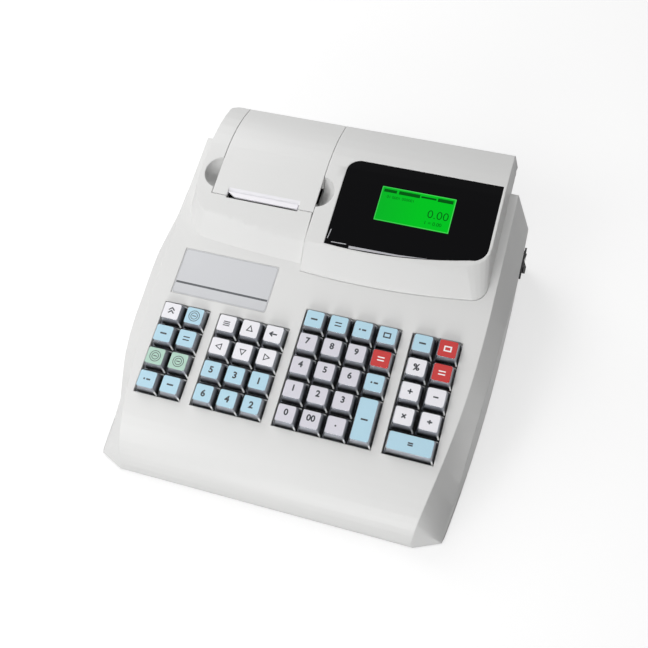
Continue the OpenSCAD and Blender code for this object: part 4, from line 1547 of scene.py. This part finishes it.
@dataclass
class CaseScrews:
    """Six countersunk screws that hold the base pan, made by one node tree."""

    places: tuple[Point, ...] = ((100.0, -128.0), (118.0, 8.0), (118.0, 98.0))
    head_radius: float = 3.0
    head_height: float = 1.6
    height: float = 2.2
    sides: int = 28
    slot_shares: Point = (1.2, 0.28)
    slot_drop: float = -0.5

    def tree(self) -> bpy.types.GeometryNodeTree:
        """Makes the tree that puts one screw head at each point.

        Returns:
            The tree, with the head's radius and height as named inputs.
        """
        tree = bpy.data.node_groups.new("screw_heads", "GeometryNodeTree")
        for name, way, kind in (
            ("Geometry", "INPUT", "Geometry"), ("Head Radius", "INPUT", "Float"),
            ("Head Height", "INPUT", "Float"), ("Geometry", "OUTPUT", "Geometry"),
        ):
            tree.interface.new_socket(name, in_out=way, socket_type="NodeSocket" + kind)
        given = add(tree, "NodeGroupInput").outputs
        head = add(
            tree, "GeometryNodeMeshCylinder", {"fill_type": "NGON"},
            {
                "Vertices": self.sides, "Radius": given["Head Radius"],
                "Depth": given["Head Height"],
            },
        )
        length, width, drop = (
            add(
                tree, "ShaderNodeMath", {"operation": "MULTIPLY"},
                {0: given[name], 1: share},
            ).outputs[0]
            for name, share in (
                ("Head Radius", self.slot_shares[0]),
                ("Head Radius", self.slot_shares[1]), ("Head Height", self.slot_drop),
            )
        )
        sizes = [
            add(
                tree, "ShaderNodeCombineXYZ",
                sockets={"X": x, "Y": y, "Z": given["Head Height"]},
            )
            for x, y in ((length, width), (width, length))
        ]
        lowered = add(tree, "ShaderNodeCombineXYZ", sockets={"Z": drop})
        cut = head
        for size in sizes:
            bar = add(
                tree, "GeometryNodeMeshCube", sockets={"Size": size.outputs["Vector"]}
            )
            moved = add(
                tree, "GeometryNodeTransform",
                sockets={
                    "Geometry": bar.outputs["Mesh"],
                    "Translation": lowered.outputs["Vector"],
                },
            )
            cut = add(
                tree, "GeometryNodeMeshBoolean", {"operation": "DIFFERENCE"},
                {"Mesh 1": cut.outputs["Mesh"], "Mesh 2": moved.outputs["Geometry"]},
            )
        placed = add(
            tree, "GeometryNodeInstanceOnPoints",
            sockets={"Points": given["Geometry"], "Instance": cut.outputs["Mesh"]},
        )
        real = add(
            tree, "GeometryNodeRealizeInstances",
            sockets={"Geometry": placed.outputs["Instances"]},
        )
        finished = add(
            tree, "GeometryNodeSetMaterial",
            sockets={
                "Geometry": real.outputs["Geometry"], "Material": SCREW_STEEL.material()
            },
        )
        add(tree, "NodeGroupOutput", sockets={"Geometry": finished.outputs["Geometry"]})
        return tree

    def build(self) -> None:
        """Builds the screws as one plain mesh."""
        points = bpy.data.meshes.new("screw_points")
        places = [
            (side * x * MM, y * MM, (self.height + self.head_height / 2) * MM)
            for side in (-1, 1)
            for x, y in self.places
        ]
        points.from_pydata(places, [], [])
        made = stand("base_screws", points)
        tree = self.tree()
        modifier = made.modifiers.new("screws", "NODES")
        modifier.node_group = tree
        inputs = {
            item.name: item.identifier
            for item in tree.interface.items_tree
            if item.in_out == "INPUT"
        }
        modifier[inputs["Head Radius"]] = self.head_radius * MM
        modifier[inputs["Head Height"]] = self.head_height * MM
        made.data = settled(made)
        made.modifiers.clear()
        made.data.shade_smooth()
        made.data.set_sharp_from_angle(angle=math.radians(SMOOTH_DEG))
        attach(made, "case")
        log.info("base screws: %d", len(places))


@dataclass
class Housing:
    """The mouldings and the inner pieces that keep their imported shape."""

    mouldings: tuple[Moulding, ...] = (
        Moulding("upper_case", CASE_ABS, "case", "case", band=SideBand()),
        Moulding("display_cover", CASE_ABS, "case", "case"),
        Moulding(
            "paper_lid", LID_ABS, "paper_lid", "case",
            zones=(
                Zone((-93.5, 170.3, 11.0), (-32.9, 174.2, 14.0), TEAR_ABS),
                Zone((-93.5, 174.3, 12.0), (-32.9, 178.0, 13.29), LID_LIP_ABS),
                # The lid's own faces in the narrow gap of the slit get the black nylon
                # finish: painted shade in the gap.
                Zone((-93.5, 174.0, 11.5), (-32.9, 174.7, 12.0), FRAME_NYLON),
            ),
        ),
        Moulding("display_window", WINDOW_ACRYLIC, "case", "window"),
        Moulding("power_rocker", ROCKER_PBT, "power_rocker", "rocker"),
    )
    plain: tuple[tuple[str, Finish], ...] = (
        ("base_pan", BASE_ABS), ("rubber_feet", FOOT_RUBBER),
        ("print_mechanism", MECHANISM_NYLON), ("key_frame", FRAME_NYLON),
        ("electronics", BOARD), ("lcd_module", MODULE_METAL), ("platen_roller", PLATEN),
    )

    def build(self) -> None:
        """Builds the outer mouldings and dresses the inner pieces."""
        for moulding in self.mouldings:
            moulding.build()
        for node, finish in self.plain:
            packed = bpy.data.objects[node]
            packed.data.materials.clear()
            packed.data.materials.append(finish.material())
            log.info("%s: %s", node, finish.name)


# ---- Studio --------------------------------------------------------------------------


@dataclass
class Studio:
    """Pale floor, soft lamps and the camera."""

    eye: Place = (0.14986, -0.38436, 0.61806)
    right: Place = (0.95519, 0.29220, -0.04728)
    up: Place = (-0.21455, 0.79348, 0.56953)
    forward: Place = (-0.20393, 0.53387, -0.82061)
    lens: float = 49.54
    sensor: float = 36.0
    near: float = 0.01
    world: float = 0.27
    floor_seen: str = "B4B4B4"
    floor_bounce: str = "6E6E6E"
    floor_glow: float = 0.6
    floor_reach: float = 6.0
    aim: Place = (0.0, 0.0, 0.05)
    # Name, place and side in metres, and power in watts.
    lamps: tuple[tuple[str, Place, float, float], ...] = (
        ("key lamp", (-0.55, -0.5, 0.75), 0.5, 3.6),
        ("back lamp", (-0.8, 0.8, 1.0), 0.8, 9.5),
        ("front lamp", (0.0, -1.3, 0.4), 0.7, 8.0),
        ("right lamp", (0.8, 0.1, 1.1), 0.8, 0.8),
    )

    def camera(self) -> None:
        """Sets the camera up."""
        data = bpy.data.cameras.new("camera")
        data.lens = self.lens
        data.sensor_width = self.sensor
        data.clip_start = self.near
        made = stand("camera", data)
        turn = Matrix((self.right, self.up, [-c for c in self.forward])).transposed()
        made.matrix_world = Matrix.Translation(self.eye) @ turn.to_4x4()
        bpy.context.scene.camera = made

    def lamp(self, name: str, place: Place, size: float, watts: float) -> None:
        """Adds a square soft lamp that points at the object.

        Args:
            name: The lamp's name.
            place: Where it hangs, in metres.
            size: Its side, in metres.
            watts: Its power.
        """
        data = bpy.data.lights.new(name, "AREA")
        data.size = size
        data.energy = watts
        made = stand(name, data)
        made.location = place
        aim = Vector(self.aim) - Vector(place)
        made.rotation_euler = aim.to_track_quat("-Z", "Y").to_euler()

    def seen(self, tree: Tree) -> Socket:
        """Adds a test for what the eye sees, straight, mirrored or through clear parts.

        Args:
            tree: The tree that gets the nodes.

        Returns:
            A socket with 1 for camera, glossy and transmission rays, else 0.
        """
        path = add(tree, "ShaderNodeLightPath").outputs
        mirrored = add(
            tree, "ShaderNodeMath", {"operation": "MAXIMUM"},
            {0: path["Is Camera Ray"], 1: path["Is Glossy Ray"]},
        )
        return add(
            tree, "ShaderNodeMath", {"operation": "MAXIMUM"},
            {0: mirrored.outputs[0], 1: path["Is Transmission Ray"]},
        ).outputs[0]

    def backdrop(self) -> None:
        """Lights the world, white to the eye and softer on the object."""
        world = bpy.data.worlds.new("studio")
        bpy.context.scene.world = world
        world.use_nodes = True
        tree = world.node_tree
        tree.nodes.clear()
        strength = add(
            tree, "ShaderNodeMix", {"data_type": "FLOAT"},
            {"Factor": self.seen(tree), 2: self.world, 3: 1.0},
        )
        light = add(
            tree, "ShaderNodeBackground",
            sockets={"Color": (1.0, 1.0, 1.0, 1.0), "Strength": strength.outputs[0]},
        )
        add(
            tree, "ShaderNodeOutputWorld",
            sockets={"Surface": light.outputs["Background"]},
        )

    def floor_paint(self) -> bpy.types.Material:
        """Makes a paint that is white to the eye and greyer as a source of light.

        Returns:
            The material.
        """
        made = Finish("Matt white floor", self.floor_seen, roughness=0.9).material()
        tree = made.node_tree
        shader = tree.nodes["Principled BSDF"]
        seen = self.seen(tree)
        colour = add(
            tree, "ShaderNodeMix", {"data_type": "RGBA"},
            {"Factor": seen, 6: linear(self.floor_bounce), 7: linear(self.floor_seen)},
        )
        glow = add(
            tree, "ShaderNodeMath", {"operation": "MULTIPLY"},
            {0: seen, 1: self.floor_glow},
        )
        tree.links.new(colour.outputs[2], shader.inputs["Base Color"])
        tree.links.new(glow.outputs[0], shader.inputs["Emission Strength"])
        shader.inputs["Emission Color"].default_value = (1.0, 1.0, 1.0, 1.0)
        return made

    def floor(self) -> None:
        """Lays a white floor that keeps the object's soft shadow."""
        mesh = bpy.data.meshes.new("floor")
        turns = ((-1, -1), (1, -1), (1, 1), (-1, 1))
        corners = [(a * self.floor_reach, b * self.floor_reach, 0.0) for a, b in turns]
        mesh.from_pydata(corners, [], [(0, 1, 2, 3)])
        made = stand("floor", mesh)
        mesh.materials.append(self.floor_paint())

    def build(self) -> None:
        """Sets up everything round the object."""
        self.camera()
        self.backdrop()
        self.floor()
        for lamp in self.lamps:
            self.lamp(*lamp)
        bpy.context.scene.view_settings.view_transform = "Standard"
        log.info("studio")


def main() -> None:
    """Builds every sub-assembly and notes how many imported nodes there are."""
    logging.basicConfig(level=logging.INFO, format="%(message)s")
    log.info("packed nodes: %d", len(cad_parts))
    Studio().build()
    Housing().build()
    Keyboard().build()
    Display().build()
    WindowPaintedHighlight().build()
    NamePlate().build()
    CaseScrews().build()


if __name__ == "__main__":
    main()
